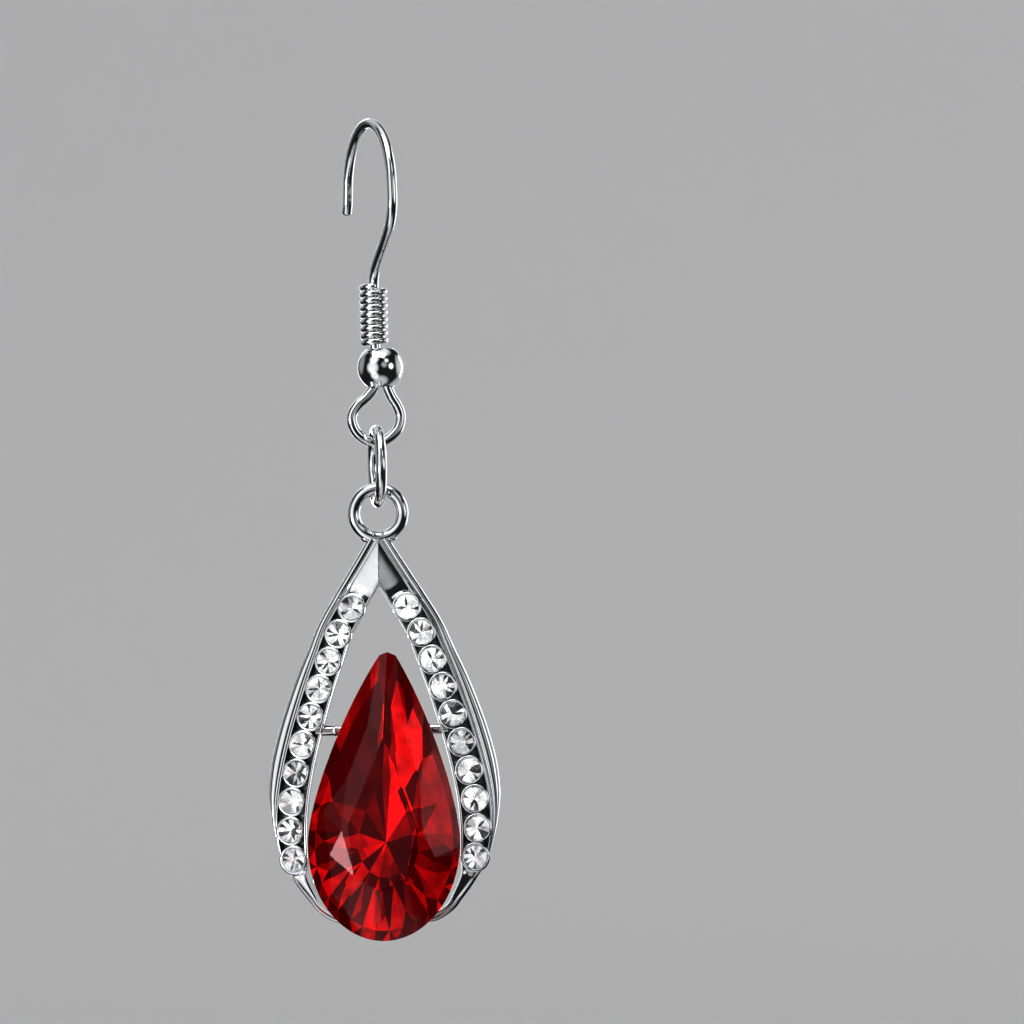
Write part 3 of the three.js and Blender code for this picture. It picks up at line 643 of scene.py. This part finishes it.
def arm_section(at):
    """Points of the section, and where its floor and its groove begin and end."""
    inner, edge, outer = curve_value(arm_widths, at)
    rail, crest, raised = curve_value(arm_levels, at)
    raised = max(0.0, (raised - PLAIN_LEVEL) / (1 - PLAIN_LEVEL))
    floor, back = -PIT_DEPTH * raised, -BAND_THICKNESS
    low, high, rim_from = RAIL_WIDTH - inner, edge - RAIL_WIDTH, edge + GROOVE_WIDTH
    groove = min(-GROOVE_DEPTH * max(raised, PLAIN_LEVEL), crest - GROOVE_WIDTH)
    points = [(UNDERCUT + EDGE_BEVEL - inner, back), (UNDERCUT - inner, back + EDGE_BEVEL)]
    points += rail_points(-inner, low, rail, RAIL_FOOT, floor)
    floor_from = len(points) - 1
    for k in range(1, FLOOR_STRIPS):
        share = k / FLOOR_STRIPS
        sag = 4 * share * (1 - share) * TROUGH * (1 - raised)
        points.append((low + (high - low) * share, floor - sag))
    floor_to = len(points)
    points += rail_points(high, edge, rail, floor, groove)
    groove_from = len(points) - 1
    points.append((rim_from, groove))
    points += rim_points(rim_from, max(outer - rim_from, GROOVE_WIDTH), crest, back)
    return points, (floor_from, floor_to, groove_from, groove_from + 1)


def arm_ring(at):
    point, _, outward, face = arm_axes(at)
    return [(point + outward * u + face * v) * MM for u, v in arm_section(at)[0]]


print("section points:", len(arm_section(0.5)[0]))

# %% [markdown]
# The first ring is laid down point by point, and every further ring is an extrusion of the one
# before. A number layer keeps each point's place in the section, and extruding copies it.

# %% Extrude the arms
ARM_STEPS = 200


def extrude_rings(bm, rings):
    """Extrudes a ring of points from place to place and closes both ends."""
    place = bm.verts.layers.int.get("place") or bm.verts.layers.int.new("place")
    verts = [bm.verts.new(p) for p in rings[0]]
    for i, v in enumerate(verts):
        v[place] = i
    edges = [bm.edges.new((a, b)) for a, b in zip(verts, verts[1:] + verts[:1])]
    bm.faces.new(verts)
    for ring in rings[1:]:
        edges, moved = extrude_once(bm, edges)
        for v in moved:
            v.co = ring[v[place]]
    bmesh.ops.contextual_create(bm, geom=edges)
    return place


bm = bmesh.new()
place = extrude_rings(bm, [arm_ring(i / ARM_STEPS) for i in range(ARM_STEPS + 1)])
print("one arm:", len(bm.faces), "faces")

# %% [markdown]
# The same numbers say which finish a face gets. The sunken floor and the groove get painted shade
# between the plain plate and the tail, and the inner side wall has its own finish all the way:
# painted shade with a painted reflection of the red stone. The arm starts beyond the middle and is
# cut off there, so the left arm can be a mirror copy.

# %% Finishes of the arms
DARK, WALL = 1, 2
LAST_WALL_POINT, PLATE_END, TAIL_START = 2, 0.145, 0.835
CUT_DISTANCE, MIRROR_DISTANCE = 0.0001 * MM, 0.001 * MM
floor_from, floor_to, groove_from, groove_to = arm_section(0.5)[1]
plain_above = (frame_top - FRAME_HEIGHT * PLATE_END) * MM
plain_below = (frame_top - FRAME_HEIGHT * TAIL_START) * MM
for face in bm.faces:
    marks = {v[place] for v in face.verts}
    low, high = min(marks), max(marks)
    is_strip = len(marks) == 2
    beside_stones = plain_below < face.calc_center_median().z < plain_above
    in_recess = floor_from <= low and high <= floor_to or groove_from <= low and high <= groove_to
    # DARK faces get painted shade; WALL faces get painted shade and a painted reflection of the red
    # stone.
    if is_strip and high <= LAST_WALL_POINT:
        face.material_index = WALL
    elif is_strip and beside_stones and in_recess:
        face.material_index = DARK
bmesh.ops.bisect_plane(bm, geom=bm.verts[:] + bm.edges[:] + bm.faces[:], dist=CUT_DISTANCE,
                       plane_co=(0, 0, 0), plane_no=(-1, 0, 0), clear_outer=True)
bmesh.ops.mirror(bm, geom=bm.verts[:] + bm.edges[:] + bm.faces[:], axis="X",
                 merge_dist=MIRROR_DISTANCE)
bmesh.ops.recalc_face_normals(bm, faces=bm.faces)
print("two arms:", len(bm.faces), "faces, open edges:", sum(e.is_boundary for e in bm.edges))

# %% [markdown]
# Each stone of the band sits in a raised collar. The collars stand edge to edge on the floor, and
# the small three-sided pits between them and the rails keep the floor's painted shade. A collar is
# a spun profile with a rolled lip, and its foot goes below the floor, so no gap shows.

# %% Seats and collars
RHINESTONE, RHINESTONE_GIRDLE, COLLAR_STEPS, SAMPLES_PER_ROW = 1.60, 0.06, 36, 40
# Columns: radius, height above the band's face
COLLAR = [(0.64, -0.52), (0.81, -0.12), (0.81, 0.10), (0.835, 0.165), (0.88, 0.20),
          (0.95, 0.195), (1.00, 0.15), (1.01, 0.06), (0.93, -0.05), (0.70, -0.52)]


def seat_places():
    """The axes of the band at each stone, the stones evenly spaced along it."""
    samples = SAMPLES_PER_ROW * (len(ARM) - 1)
    points = curve_through(arm_line, samples)
    lengths = [0.0]
    for a, b in zip(points, points[1:]):
        lengths.append(lengths[-1] + (b - a).length)
    first = lengths[SAMPLES_PER_ROW * FIRST_STONE_ROW]
    last = lengths[SAMPLES_PER_ROW * LAST_STONE_ROW]
    places = []
    for i in range(STONES_PER_ARM):
        goal = first + (last - first) * i / (STONES_PER_ARM - 1)
        k = max(j for j in range(samples) if lengths[j] <= goal + TINY)
        share = (goal - lengths[k]) / (lengths[k + 1] - lengths[k])
        places.append(arm_axes((k + share) / samples))
    return places


def seat_matrix(seat, side):
    """Z out of the stones' face, Y along the band, on the right arm or mirrored to the left."""
    point, along, _, face = seat
    flip = Vector((side, 1, 1))
    point, along, face = point * flip * MM, along * flip, face * flip
    right = along.cross(face)
    return Matrix.Translation(point) @ Matrix((right, along, face)).transposed().to_4x4()


seats = seat_places()
for seat in seats:
    for side in (-1, 1):
        spin_profile(bm, COLLAR, COLLAR_STEPS, seat_matrix(seat, side))
print("collars:", 2 * len(seats), "pitch", round((seats[1][0] - seats[0][0]).length, 2), "mm")

# %% [markdown]
# ### The outline of the red stone
# The stone and the cup behind it share one pear-shaped outline. Its bottom is half an ellipse,
# and each flank is one cubic curve up to the apex. The steps crowd toward the apex, so that the
# small nose comes out round.

# %% Pear outline
PEAR_HALF_WIDTH, PEAR_BELLY_TO_APEX, PEAR_BELLY_TO_BOTTOM, PEAR_STEPS = 5.20, 13.00, 6.60, 32
PEAR_CROWN, PEAR_PAVILION, PEAR_GIRDLE, PEAR_BELOW_FRAME = 1.60, 3.10, 0.20, 0.35
PEAR_FORWARD, PEAR_LEAN, PEAR_SHIFT = 1.45, 2.3, 0.08
# Columns: out, up, as shares of the half width and of the height to the apex
FLANK, NOSE = [(1.00, 0.21), (0.57, 0.70), (0.08, 1.00)], 1.45
pear_belly = frame_top - FRAME_HEIGHT - PEAR_BELOW_FRAME + PEAR_BELLY_TO_BOTTOM


def pear_half(steps, grow=0.0):
    """Right half of the pear's outline from its bottom to its apex."""
    width, low = PEAR_HALF_WIDTH + grow, PEAR_BELLY_TO_BOTTOM + grow
    high = PEAR_BELLY_TO_APEX + 2 * grow
    ends = [Vector((width, 0)), *[Vector((width * out, high * up)) for out, up in FLANK]]
    points = []
    for i in range(steps + 1):
        t = 2 * i / steps
        if t <= 1:
            points.append(Vector((width * sin(pi / 2 * t), -low * cos(pi / 2 * t))))
        else:
            t = 1 - (2 - t) ** NOSE
            weights = ((1 - t) ** 3, 3 * t * (1 - t) ** 2, 3 * t * t * (1 - t), t ** 3)
            points.append(sum((w * p for w, p in zip(weights, ends)), Vector((0, 0))))
    points[-1] = Vector((0, high))
    return points


def pear_outline(grow=0.0):
    right = pear_half(PEAR_STEPS, grow)
    return right + [Vector((-p.x, p.y)) for p in reversed(right[1:-1])]


pear_matrix = (Matrix.Translation(Vector((PEAR_SHIFT, -PEAR_FORWARD, pear_belly)) * MM)
               @ Matrix.Rotation(radians(PEAR_LEAN), 4, "Y") @ Matrix.Rotation(radians(90), 4, "X"))
print("pear stone's belly at", round(pear_belly, 2), "mm")

# %% [markdown]
# ### The cup
# The back of the red stone is closed by a smooth metal cup, as on cheap foil-backed settings. The
# pear outline is extruded backwards and inwards, the face over its mouth is taken away, and the
# sheet that is left is given a wall.

# %% Cup
POCKET_GAP, CUP_RIM_BEHIND, CUP_BACK_WALL, CUP_OVERHANG, CUP_WALL = 0.15, 0.45, 0.30, 0.08, 0.22
# Columns: share of the depth, share of the half width that the outline has shrunk by
CUP = [(0.00, 0.00), (0.22, 0.02), (0.45, 0.06), (0.65, 0.13), (0.80, 0.22), (0.92, 0.32),
       (1.00, 0.42)]
cup_bm = bmesh.new()
depth = PEAR_GIRDLE / 2 + PEAR_PAVILION + POCKET_GAP + CUP_BACK_WALL
cup_rings = []
for back, inward in CUP:
    outline = pear_outline(-CUP_OVERHANG - inward * PEAR_HALF_WIDTH)
    level = -(CUP_RIM_BEHIND + back * (depth - CUP_RIM_BEHIND))
    cup_rings.append([pear_matrix @ (Vector((p.x, p.y, level)) * MM) for p in outline])
extrude_rings(cup_bm, cup_rings)
mouth = max(cup_bm.faces, key=lambda f: (len(f.verts), -f.calc_center_median().y))
bmesh.ops.delete(cup_bm, geom=[mouth], context="FACES_ONLY")
bmesh.ops.recalc_face_normals(cup_bm, faces=cup_bm.faces)
bmesh.ops.solidify(cup_bm, geom=cup_bm.faces[:], thickness=CUP_WALL * MM)
print("cup:", len(cup_bm.faces), "faces, depth", round(depth, 2), "mm")
join_shape(bm, cup_bm, Matrix.Identity(4))

# %% [markdown]
# ### The pegs
# Two short pegs hold the cup between the arms. Each is a thin rod from the cup's side to the
# arm's inner rail, sunk into both, with a small blob of solder where it meets the cup.

# %% Pegs
STRUT_HEIGHT, STRUT_BACK, STRUT_RADIUS, STRUT_EXTRA, STRUT_SIDES = 7.70, 1.05, 0.36, 0.9, 24
BLOB_OUT, BLOB_RADIUS, ARM_SAMPLES, PEAR_SAMPLES = 0.12, 0.40, 2000, 400


def arm_at_height(z):
    """The place on the right arm, from 0 to 1, where it comes below a height."""
    for i in range(ARM_SAMPLES):
        point = curve_value(arm_line, i / ARM_SAMPLES)
        if point.x > 0 and point.z < z:
            return i / ARM_SAMPLES


strut_y, strut_z = STRUT_BACK - PEAR_FORWARD, pear_belly + STRUT_HEIGHT
cup_side = next(p.x for p in pear_half(PEAR_SAMPLES) if p.y > STRUT_HEIGHT) - CUP_OVERHANG
arm_at = arm_at_height(strut_z)
arm_side = curve_value(arm_line, arm_at).x - curve_value(arm_widths, arm_at).x
for side in (-1, 1):
    middle = Vector((side * (cup_side + arm_side) / 2, strut_y, strut_z)) * MM
    turned = Matrix.Translation(middle) @ Matrix.Rotation(radians(90), 4, "Y")
    bmesh.ops.create_cone(bm, cap_ends=True, segments=STRUT_SIDES, radius1=STRUT_RADIUS * MM,
                          radius2=STRUT_RADIUS * MM, depth=(arm_side - cup_side + STRUT_EXTRA) * MM,
                          matrix=turned)
    blob = Matrix.Translation(Vector((side * (cup_side + BLOB_OUT), strut_y, strut_z)) * MM)
    bmesh.ops.create_icosphere(bm, subdivisions=3, radius=BLOB_RADIUS * MM, matrix=blob)
print("pegs from", round(cup_side, 2), "to", round(arm_side, 2), "mm")

# %% [markdown]
# ### The top ring
# The ring at the top faces the viewer. It is soldered to the apex of the arms, with a flattened
# drop of solder on each side.

# %% Top ring and solder
DROP_OUT, DROP_UP, DROP_RADIUS, DROP_SHAPE = 0.50, 0.16, 0.34, (1.2, 1.0, 0.8, 1.0)
top_ring_place = Matrix.Translation((0, 0, top_ring_middle * MM)) @ upright
add_ring(bm, TOP_RING_RADIUS, TOP_RING_WIRE, top_ring_place)
for side in (-1, 1):
    middle = Vector((side * TOP_RING_RADIUS * DROP_OUT, 0, frame_top + DROP_UP)) * MM
    drop = Matrix.Translation(middle) @ Matrix.Diagonal(DROP_SHAPE)
    bmesh.ops.create_icosphere(bm, subdivisions=3, radius=DROP_RADIUS * MM, matrix=drop)
finish_piece("teardrop_frame", bm, "pendant", ["pendant_frame"],
             [cast_plating, recess, side_wall_painted_shade_and_reflection], sharp=CASTING_SHARP)

# %% [markdown]
# ## The cut stones
# A cut stone is convex, so it is fully described by its corners: the table's, those of the facets
# round it, the girdle's and those of the back. The corners are placed and a convex hull joins
# them into flat facets, exactly as the cutter's planes would. The front edges get a hair-wide
# bevel, which catches the light as a real facet edge does.

# %% Hull of a stone
FLAT_ANGLE, FOIL_FROM, DIGITS = 1.2, -0.05, 4
GLASS, FOIL = 0, 1


def outline_share(outline, x, y):
    """How far out a point lies, as a share of the girdle's reach in its direction."""
    share = 0.0
    for a, b in zip(outline, outline[1:] + outline[:1]):
        side = b - a
        normal = Vector((side.y, -side.x))
        share = max(share, normal.dot(Vector((x, y))) / normal.dot(a))
    return share


def stone_hull(bm, corners, matrix, edge_width, painted_light_at):
    """A cut stone; the faces are sorted by place, so each gets the same painted light level on
    every run.
    """
    bmesh.ops.convex_hull(bm, input=[bm.verts.new(Vector(c) * MM) for c in corners])
    bmesh.ops.delete(bm, geom=[v for v in bm.verts if not v.link_faces], context="VERTS")
    bmesh.ops.dissolve_limit(bm, angle_limit=radians(FLAT_ANGLE), verts=bm.verts[:],
                             edges=bm.edges[:])
    bmesh.ops.recalc_face_normals(bm, faces=bm.faces[:])
    front = [e for e in bm.edges if sum(v.co.z for v in e.verts) > 0]
    bmesh.ops.bevel(bm, geom=front, offset=edge_width * MM, offset_type="OFFSET", affect="EDGES",
                    segments=1, profile=0.5, material=-1, clamp_overlap=True)
    # Each foil facet gets a painted light and shade level; glass faces get 1.0.
    tone = bm.faces.layers.float.new("facet_painted_light")
    middles = {f: tuple(round(v / MM, DIGITS) + 0.0 for v in f.calc_center_median())
               for f in bm.faces}
    for face in sorted(bm.faces, key=lambda f: middles[f]):
        face.normal_update()
        face.material_index = FOIL if face.normal.z < FOIL_FROM else GLASS
        face[tone] = painted_light_at(Vector(middles[face])) if face.material_index == FOIL else 1.0
    bmesh.ops.transform(bm, matrix=matrix, verts=bm.verts[:])


print("foil on facets whose normal points back by more than", -FOIL_FROM)

# %% [markdown]
# ### The red pear stone
# The table and the facets next to it follow the photo. All other front corners lie on a shallow
# dome between the table and the girdle, so that each of them shows as a corner of the hull. The
# corners of the back stand in three rings round the culet, the point at the very back.

# %% Corners of the red stone
DOME_FROM, DOME_POWER = 0.46, 1.5
TABLE_CORNERS = [(0.0, 0.565), (0.46, 0.095), (0.345, -0.33), (0.0, -0.475), (-0.345, -0.33),
                 (-0.45, 0.095)]
CROWN_CORNERS = [(0.53, 0.07), (0.69, -0.12), (0.66, -0.53), (0.45, -0.71), (0.0, -0.79),
                 (0.0, 0.80), (0.465, 0.35), (0.80, 0.16), (0.62, 0.50), (0.22, 0.62),
                 (0.86, -0.35), (0.30, -0.90)]
# Columns: one girdle point in so many, the first of them, share of the way out, share of the depth
PAVILION = [(2, 1, 0.86, 0.19), (4, 2, 0.36, 0.70), (4, 0, 0.70, 0.36)]


def pear_place(across, up):
    return across * PEAR_HALF_WIDTH, up * (PEAR_BELLY_TO_APEX if up > 0 else PEAR_BELLY_TO_BOTTOM)


girdle = pear_outline()
corners = [(p.x, p.y, h) for p in girdle for h in (-PEAR_GIRDLE / 2, PEAR_GIRDLE / 2)]
corners += [(*pear_place(*c), PEAR_GIRDLE / 2 + PEAR_CROWN) for c in TABLE_CORNERS]
for across, up in CROWN_CORNERS:
    for side in (-1, 1):
        x, y = pear_place(side * across, up)
        share = (outline_share(girdle, x, y) - DOME_FROM) / (1 - DOME_FROM)
        level = 1 - max(0.0, share) ** DOME_POWER
        corners.append((x, y, PEAR_GIRDLE / 2 + PEAR_CROWN * level))
for k, p in enumerate(girdle):
    for every, first, out, down in PAVILION:
        if k % every == first:
            corners.append((out * p.x, out * p.y, -PEAR_GIRDLE / 2 - down * PEAR_PAVILION))
corners.append((0, 0, -PEAR_GIRDLE / 2 - PEAR_PAVILION))
print("corners of the red stone:", len(corners))

# %% [markdown]
# In the photo one long facet above the culet is lit, and the rest are a mosaic of dark and medium
# reds. The foil paints this on: a painted highlight on that facet, and painted light and shade on
# the rest. Chance makes that mosaic, from a fixed seed, so every run draws the same stone.

# %% Red stone
# Levels of the painted light and shade on the foil facets; LIT_LEVEL is the painted highlight,
# DARKER_SHARE the painted shade toward the apex.
RED_LIGHT_CHANCE, RED_LEVELS = Random(23), (0.0, 0.0, 0.02, 0.05, 0.10, 0.18, 0.32, 0.60)
RED_EDGE, LIT_LEVEL, LIT_DEPTH, LIT_SPREAD, LIT_MARGIN = 0.035, 0.95, 0.3, 0.25, 0.3
DARKER_FROM, DARKER_SHARE, VARIED_SHARE = 0.5, 0.55, 0.2


def red_painted_light(center):
    """A painted highlight on one long facet above the culet, painted light and shade by chance on
    the rest, and painted shade toward the apex.
    """
    level = RED_LIGHT_CHANCE.choice(RED_LEVELS)
    level *= 1 - VARIED_SHARE + VARIED_SHARE * RED_LIGHT_CHANCE.random()
    is_deep = center.z < -LIT_DEPTH * PEAR_PAVILION
    if is_deep and center.y > 0 and 0 < center.x < LIT_SPREAD * center.y + LIT_MARGIN:
        return LIT_LEVEL
    return level * (DARKER_SHARE if center.y > DARKER_FROM * PEAR_BELLY_TO_APEX else 1.0)


bm = bmesh.new()
stone_hull(bm, corners, pear_matrix, RED_EDGE, red_painted_light)
finish_piece("red_pear_stone", bm, "pendant", ["pear_stone"],
             [red_glass, red_foil_painted_glow], sharp=None)

# %% [markdown]
# ### The clear stones
# The small stones are round: a flat eight-sided table, facets round it and a pointed back.
# They are all cut alike but set by hand, so each is turned by its own angle.

# %% Clear stones
# Painted light levels for the silver foil facets: painted shade for the low ones, painted glints
# for the high ones.
CLEAR_LIGHT_CHANCE, CLEAR_LEVELS = Random(3), (0.0, 0.04, 0.5, 0.8, 1.0, 1.0, 1.0, 1.0)
CLEAR_SIDES, CLEAR_EDGE, CLEAR_TURN, LEFT_RIGHT_TURNS = 16, 0.012, 37.0, 3
# Columns: share of the radius, height
TABLE_RING, CROWN_RING, BACK_RING, CULET = (0.54, 0.25), (0.76, 0.165), (0.34, -0.42), (0, -0.60)


# Each foil facet gets a painted light level by chance.
def clear_painted_light(_):
    return CLEAR_LIGHT_CHANCE.choice(CLEAR_LEVELS)


def round_stone_corners():
    corners = []
    for k in range(CLEAR_SIDES):
        a = 2 * pi * k / CLEAR_SIDES
        x, y = RHINESTONE / 2 * cos(a), RHINESTONE / 2 * sin(a)
        corners += [(x, y, -RHINESTONE_GIRDLE / 2), (x, y, RHINESTONE_GIRDLE / 2)]
        for share, height in [TABLE_RING] if k % 2 == 0 else [CROWN_RING, BACK_RING]:
            corners.append((share * x, share * y, height))
    return corners + [(0, *CULET)]


for i, seat in enumerate(seats):
    for label, side in (("left", -1), ("right", 1)):
        bm = bmesh.new()
        turns = i + LEFT_RIGHT_TURNS * (side > 0)
        turn = Matrix.Rotation(radians(CLEAR_TURN * turns), 4, "Z")
        lift = Matrix.Translation((0, 0, RAIL_HEIGHT * MM))
        matrix = seat_matrix(seat, side) @ lift @ turn
        stone_hull(bm, round_stone_corners(), matrix, CLEAR_EDGE, clear_painted_light)
        finish_piece(f"clear_stone_{label}_{i + 1:02d}", bm, "pendant",
                     [f"rhinestone_{label}_{i + 1:02d}"], [clear_glass, silver_foil_painted_glow], sharp=None)

# %% [markdown]
# ## The studio
# The earring hangs above a plain pale floor that curves up far away, so no horizon shows.
# Polished metal is only as good as what it reflects: bright soft areas give white bands, and the
# dim space between them gives the black ones. So the floor is hidden from the reflections.

# %% Floor
FLOOR_DROP, FLOOR_RADIUS, SWEEP_RADIUS, SWEEP_STEP, FLOOR_STEPS = 0.105, 0.90, 0.35, 6, 96
FLOOR_MERGE, FACING_UP = 0.00001, -0.001
floor_z = cad_box[0][2] - FLOOR_DROP
paper, _, _, paper_shader = new_material("pale_paper")
paper_shader.inputs["Base Color"].default_value = (0.84, 0.84, 0.85, 1.0)
paper_shader.inputs["Roughness"].default_value = 0.9


def stage_piece(name, profile):
    """A turned surface round the Z axis that faces up and inwards; the profile is in metres."""
    bm = bmesh.new()
    verts = [bm.verts.new((r, 0, h)) for r, h in profile]
    edges = [bm.edges.new(pair) for pair in zip(verts, verts[1:])]
    spin_once(bm, verts + edges, FLOOR_STEPS)
    bmesh.ops.remove_doubles(bm, verts=bm.verts, dist=FLOOR_MERGE)
    for face in bm.faces:
        face.smooth = True
        face.normal_update()
        if face.normal.z < FACING_UP:
            face.normal_flip()
    piece = object_from(name, bm, [paper])
    piece.visible_glossy = False


def sweep_point(angle):
    a = radians(angle)
    return FLOOR_RADIUS + SWEEP_RADIUS * sin(a), floor_z + SWEEP_RADIUS * (1 - cos(a))


stage_piece("studio_floor", [(0.0, floor_z), (FLOOR_RADIUS, floor_z)])
stage_piece("studio_sweep", [sweep_point(angle) for angle in range(0, 91, SWEEP_STEP)])
print("floor at", round(1000 * floor_z, 1), "mm")

# %% [markdown]
# The light comes from five soft panels that all look at the earring. The two front ones aren't
# seen in reflections, because their hard corners would show on the bead.

# %% Lights
AIM = Vector((0, 0, -0.030))
# Columns: azimuth, elevation, distance, width, height, power, seen in reflections
PANELS = {
    "left_panel": (-44, 4, 0.50, 0.22, 0.50, 0.55, False),
    "right_panel": (64, 5, 0.55, 0.14, 0.50, 0.38, False),
    "top_panel": (-10, 70, 0.50, 0.50, 0.30, 0.80, True),
    "back_left_panel": (-162, 4, 0.60, 0.12, 0.50, 0.45, True),
    "back_right_panel": (140, 4, 0.60, 0.20, 0.50, 0.75, True),
}


def direction_of(azimuth, elevation):
    """The direction from the earring to a place in the studio; azimuth 0 is the front."""
    a, e = radians(azimuth), radians(elevation)
    return sin(a) * cos(e), -cos(a) * cos(e), sin(e)


def soft_light(name, azimuth, elevation, distance, width, height, power, reflected):
    away = Vector(direction_of(azimuth, elevation))
    lamp = bpy.data.lights.new(name, "AREA")
    lamp.shape, lamp.size, lamp.size_y = "RECTANGLE", width, height
    lamp.energy = power
    light = bpy.data.objects.new(name, lamp)
    light.location = AIM + distance * away
    light.rotation_euler = away.to_track_quat("Z", "Y").to_euler()
    light.visible_camera = False
    light.visible_glossy = reflected
    bpy.context.scene.collection.objects.link(light)


for name, row in PANELS.items():
    soft_light(name, *row)
print("lights:", list(PANELS))

# %% [markdown]
# The world holds the soft reflections, as large white cards round the earring would give them.
# Each glow is a direction, a core and an edge angle, and a brightness. One of them is small and
# very bright: it lights a single facet of the red stone, as a softbox does in the photo.

# %% Glows of the studio
DIM_LEVEL = 0.010
# Columns: azimuth, elevation, core angle, edge angle, brightness
GLOWS = [
    (-34.0, 40.0, 8.0, 26.0, 1.10),
    (-32.0, -38.0, 6.0, 24.0, 0.90),
    (-36.0, 0.0, 10.0, 36.0, 0.95),
    (-42.0, -8.0, 4.0, 8.0, 13.00),
    (24.0, 14.0, 2.0, 18.0, 0.35),
    (60.0, 6.0, 5.0, 17.0, 1.40),
    (40.0, 34.0, 4.0, 13.0, 1.00),
    (5.0, -70.0, 8.0, 36.0, 0.50),
    (118.0, 5.0, 8.0, 36.0, 0.60),
    (-112.0, 10.0, 6.0, 30.0, 0.28),
    (180.0, 5.0, 8.0, 30.0, 0.80),
    (-150.0, 38.0, 6.0, 30.0, 0.55),
    (150.0, -35.0, 6.0, 34.0, 0.40),
    (0.0, 90.0, 14.0, 40.0, 0.90),
]
world = bpy.data.worlds.new("dim_studio")
bpy.context.scene.world = world
world.use_nodes = True
sky = world.node_tree
looking = sky.nodes.new("ShaderNodeTexCoord")


def add_glow(azimuth, elevation, core, edge, brightness):
    """A soft round patch of light in one direction of the world."""
    facing = add_node(sky.nodes, "ShaderNodeVectorMath", {1: direction_of(azimuth, elevation)})
    facing.operation = "DOT_PRODUCT"
    sky.links.new(looking.outputs["Generated"], facing.inputs[0])
    fade = {"From Min": cos(radians(edge)), "From Max": cos(radians(core)), "To Max": brightness}
    glow = add_node(sky.nodes, "ShaderNodeMapRange", fade)
    glow.interpolation_type = "SMOOTHSTEP"
    sky.links.new(facing.outputs["Value"], glow.inputs["Value"])
    return glow.outputs["Result"]


glow_sum = add_glow(*GLOWS[0])
for row in GLOWS[1:]:
    both = sky.nodes.new("ShaderNodeMath")
    sky.links.new(glow_sum, both.inputs[0])
    sky.links.new(add_glow(*row), both.inputs[1])
    glow_sum = both.outputs["Value"]
dim = add_node(sky.nodes, "ShaderNodeMath", {1: DIM_LEVEL})
sky.links.new(glow_sum, dim.inputs[0])
sky.links.new(dim.outputs["Value"], sky.nodes["Background"].inputs["Color"])
sky.nodes["Background"].inputs["Strength"].default_value = 1.0
bpy.context.scene.view_settings.view_transform = "Standard"
print("glows:", len(GLOWS))

# %% [markdown]
# ## The camera
# The photo looks at the pendant from straight ahead and 5 degrees to its right, with a long lens,
# and the picture is rolled by about one degree.

# %% Camera
CAMERA_AZIMUTH, CAMERA_DISTANCE, CAMERA_ROLL, SENSOR_WIDTH = 5.0, 0.400, 1.2, 36.0
CAMERA_SIDE, CAMERA_HEIGHT, FIELD_WIDTH = 9.102, -26.30, 69.66
a = radians(CAMERA_AZIMUTH)
viewer_right = Vector((cos(a), sin(a), 0))
away = Vector((sin(a), -cos(a), 0))
lens = bpy.data.cameras.new("photo_camera")
lens.sensor_width = SENSOR_WIDTH
lens.lens = SENSOR_WIDTH * 1000 * CAMERA_DISTANCE / FIELD_WIDTH
lens.clip_start, lens.clip_end = 0.01, 20.0
camera = bpy.data.objects.new("photo_camera", lens)
target = viewer_right * CAMERA_SIDE * MM + Vector((0, 0, CAMERA_HEIGHT * MM))
place_camera = Matrix.Translation(target + away * CAMERA_DISTANCE)
turn_camera = away.to_track_quat("Z", "Y").to_matrix().to_4x4()
roll_camera = Matrix.Rotation(radians(-CAMERA_ROLL), 4, "Z")
camera.matrix_world = place_camera @ turn_camera @ roll_camera
bpy.context.scene.collection.objects.link(camera)
bpy.context.scene.camera = camera
print("lens:", round(lens.lens, 1), "mm")
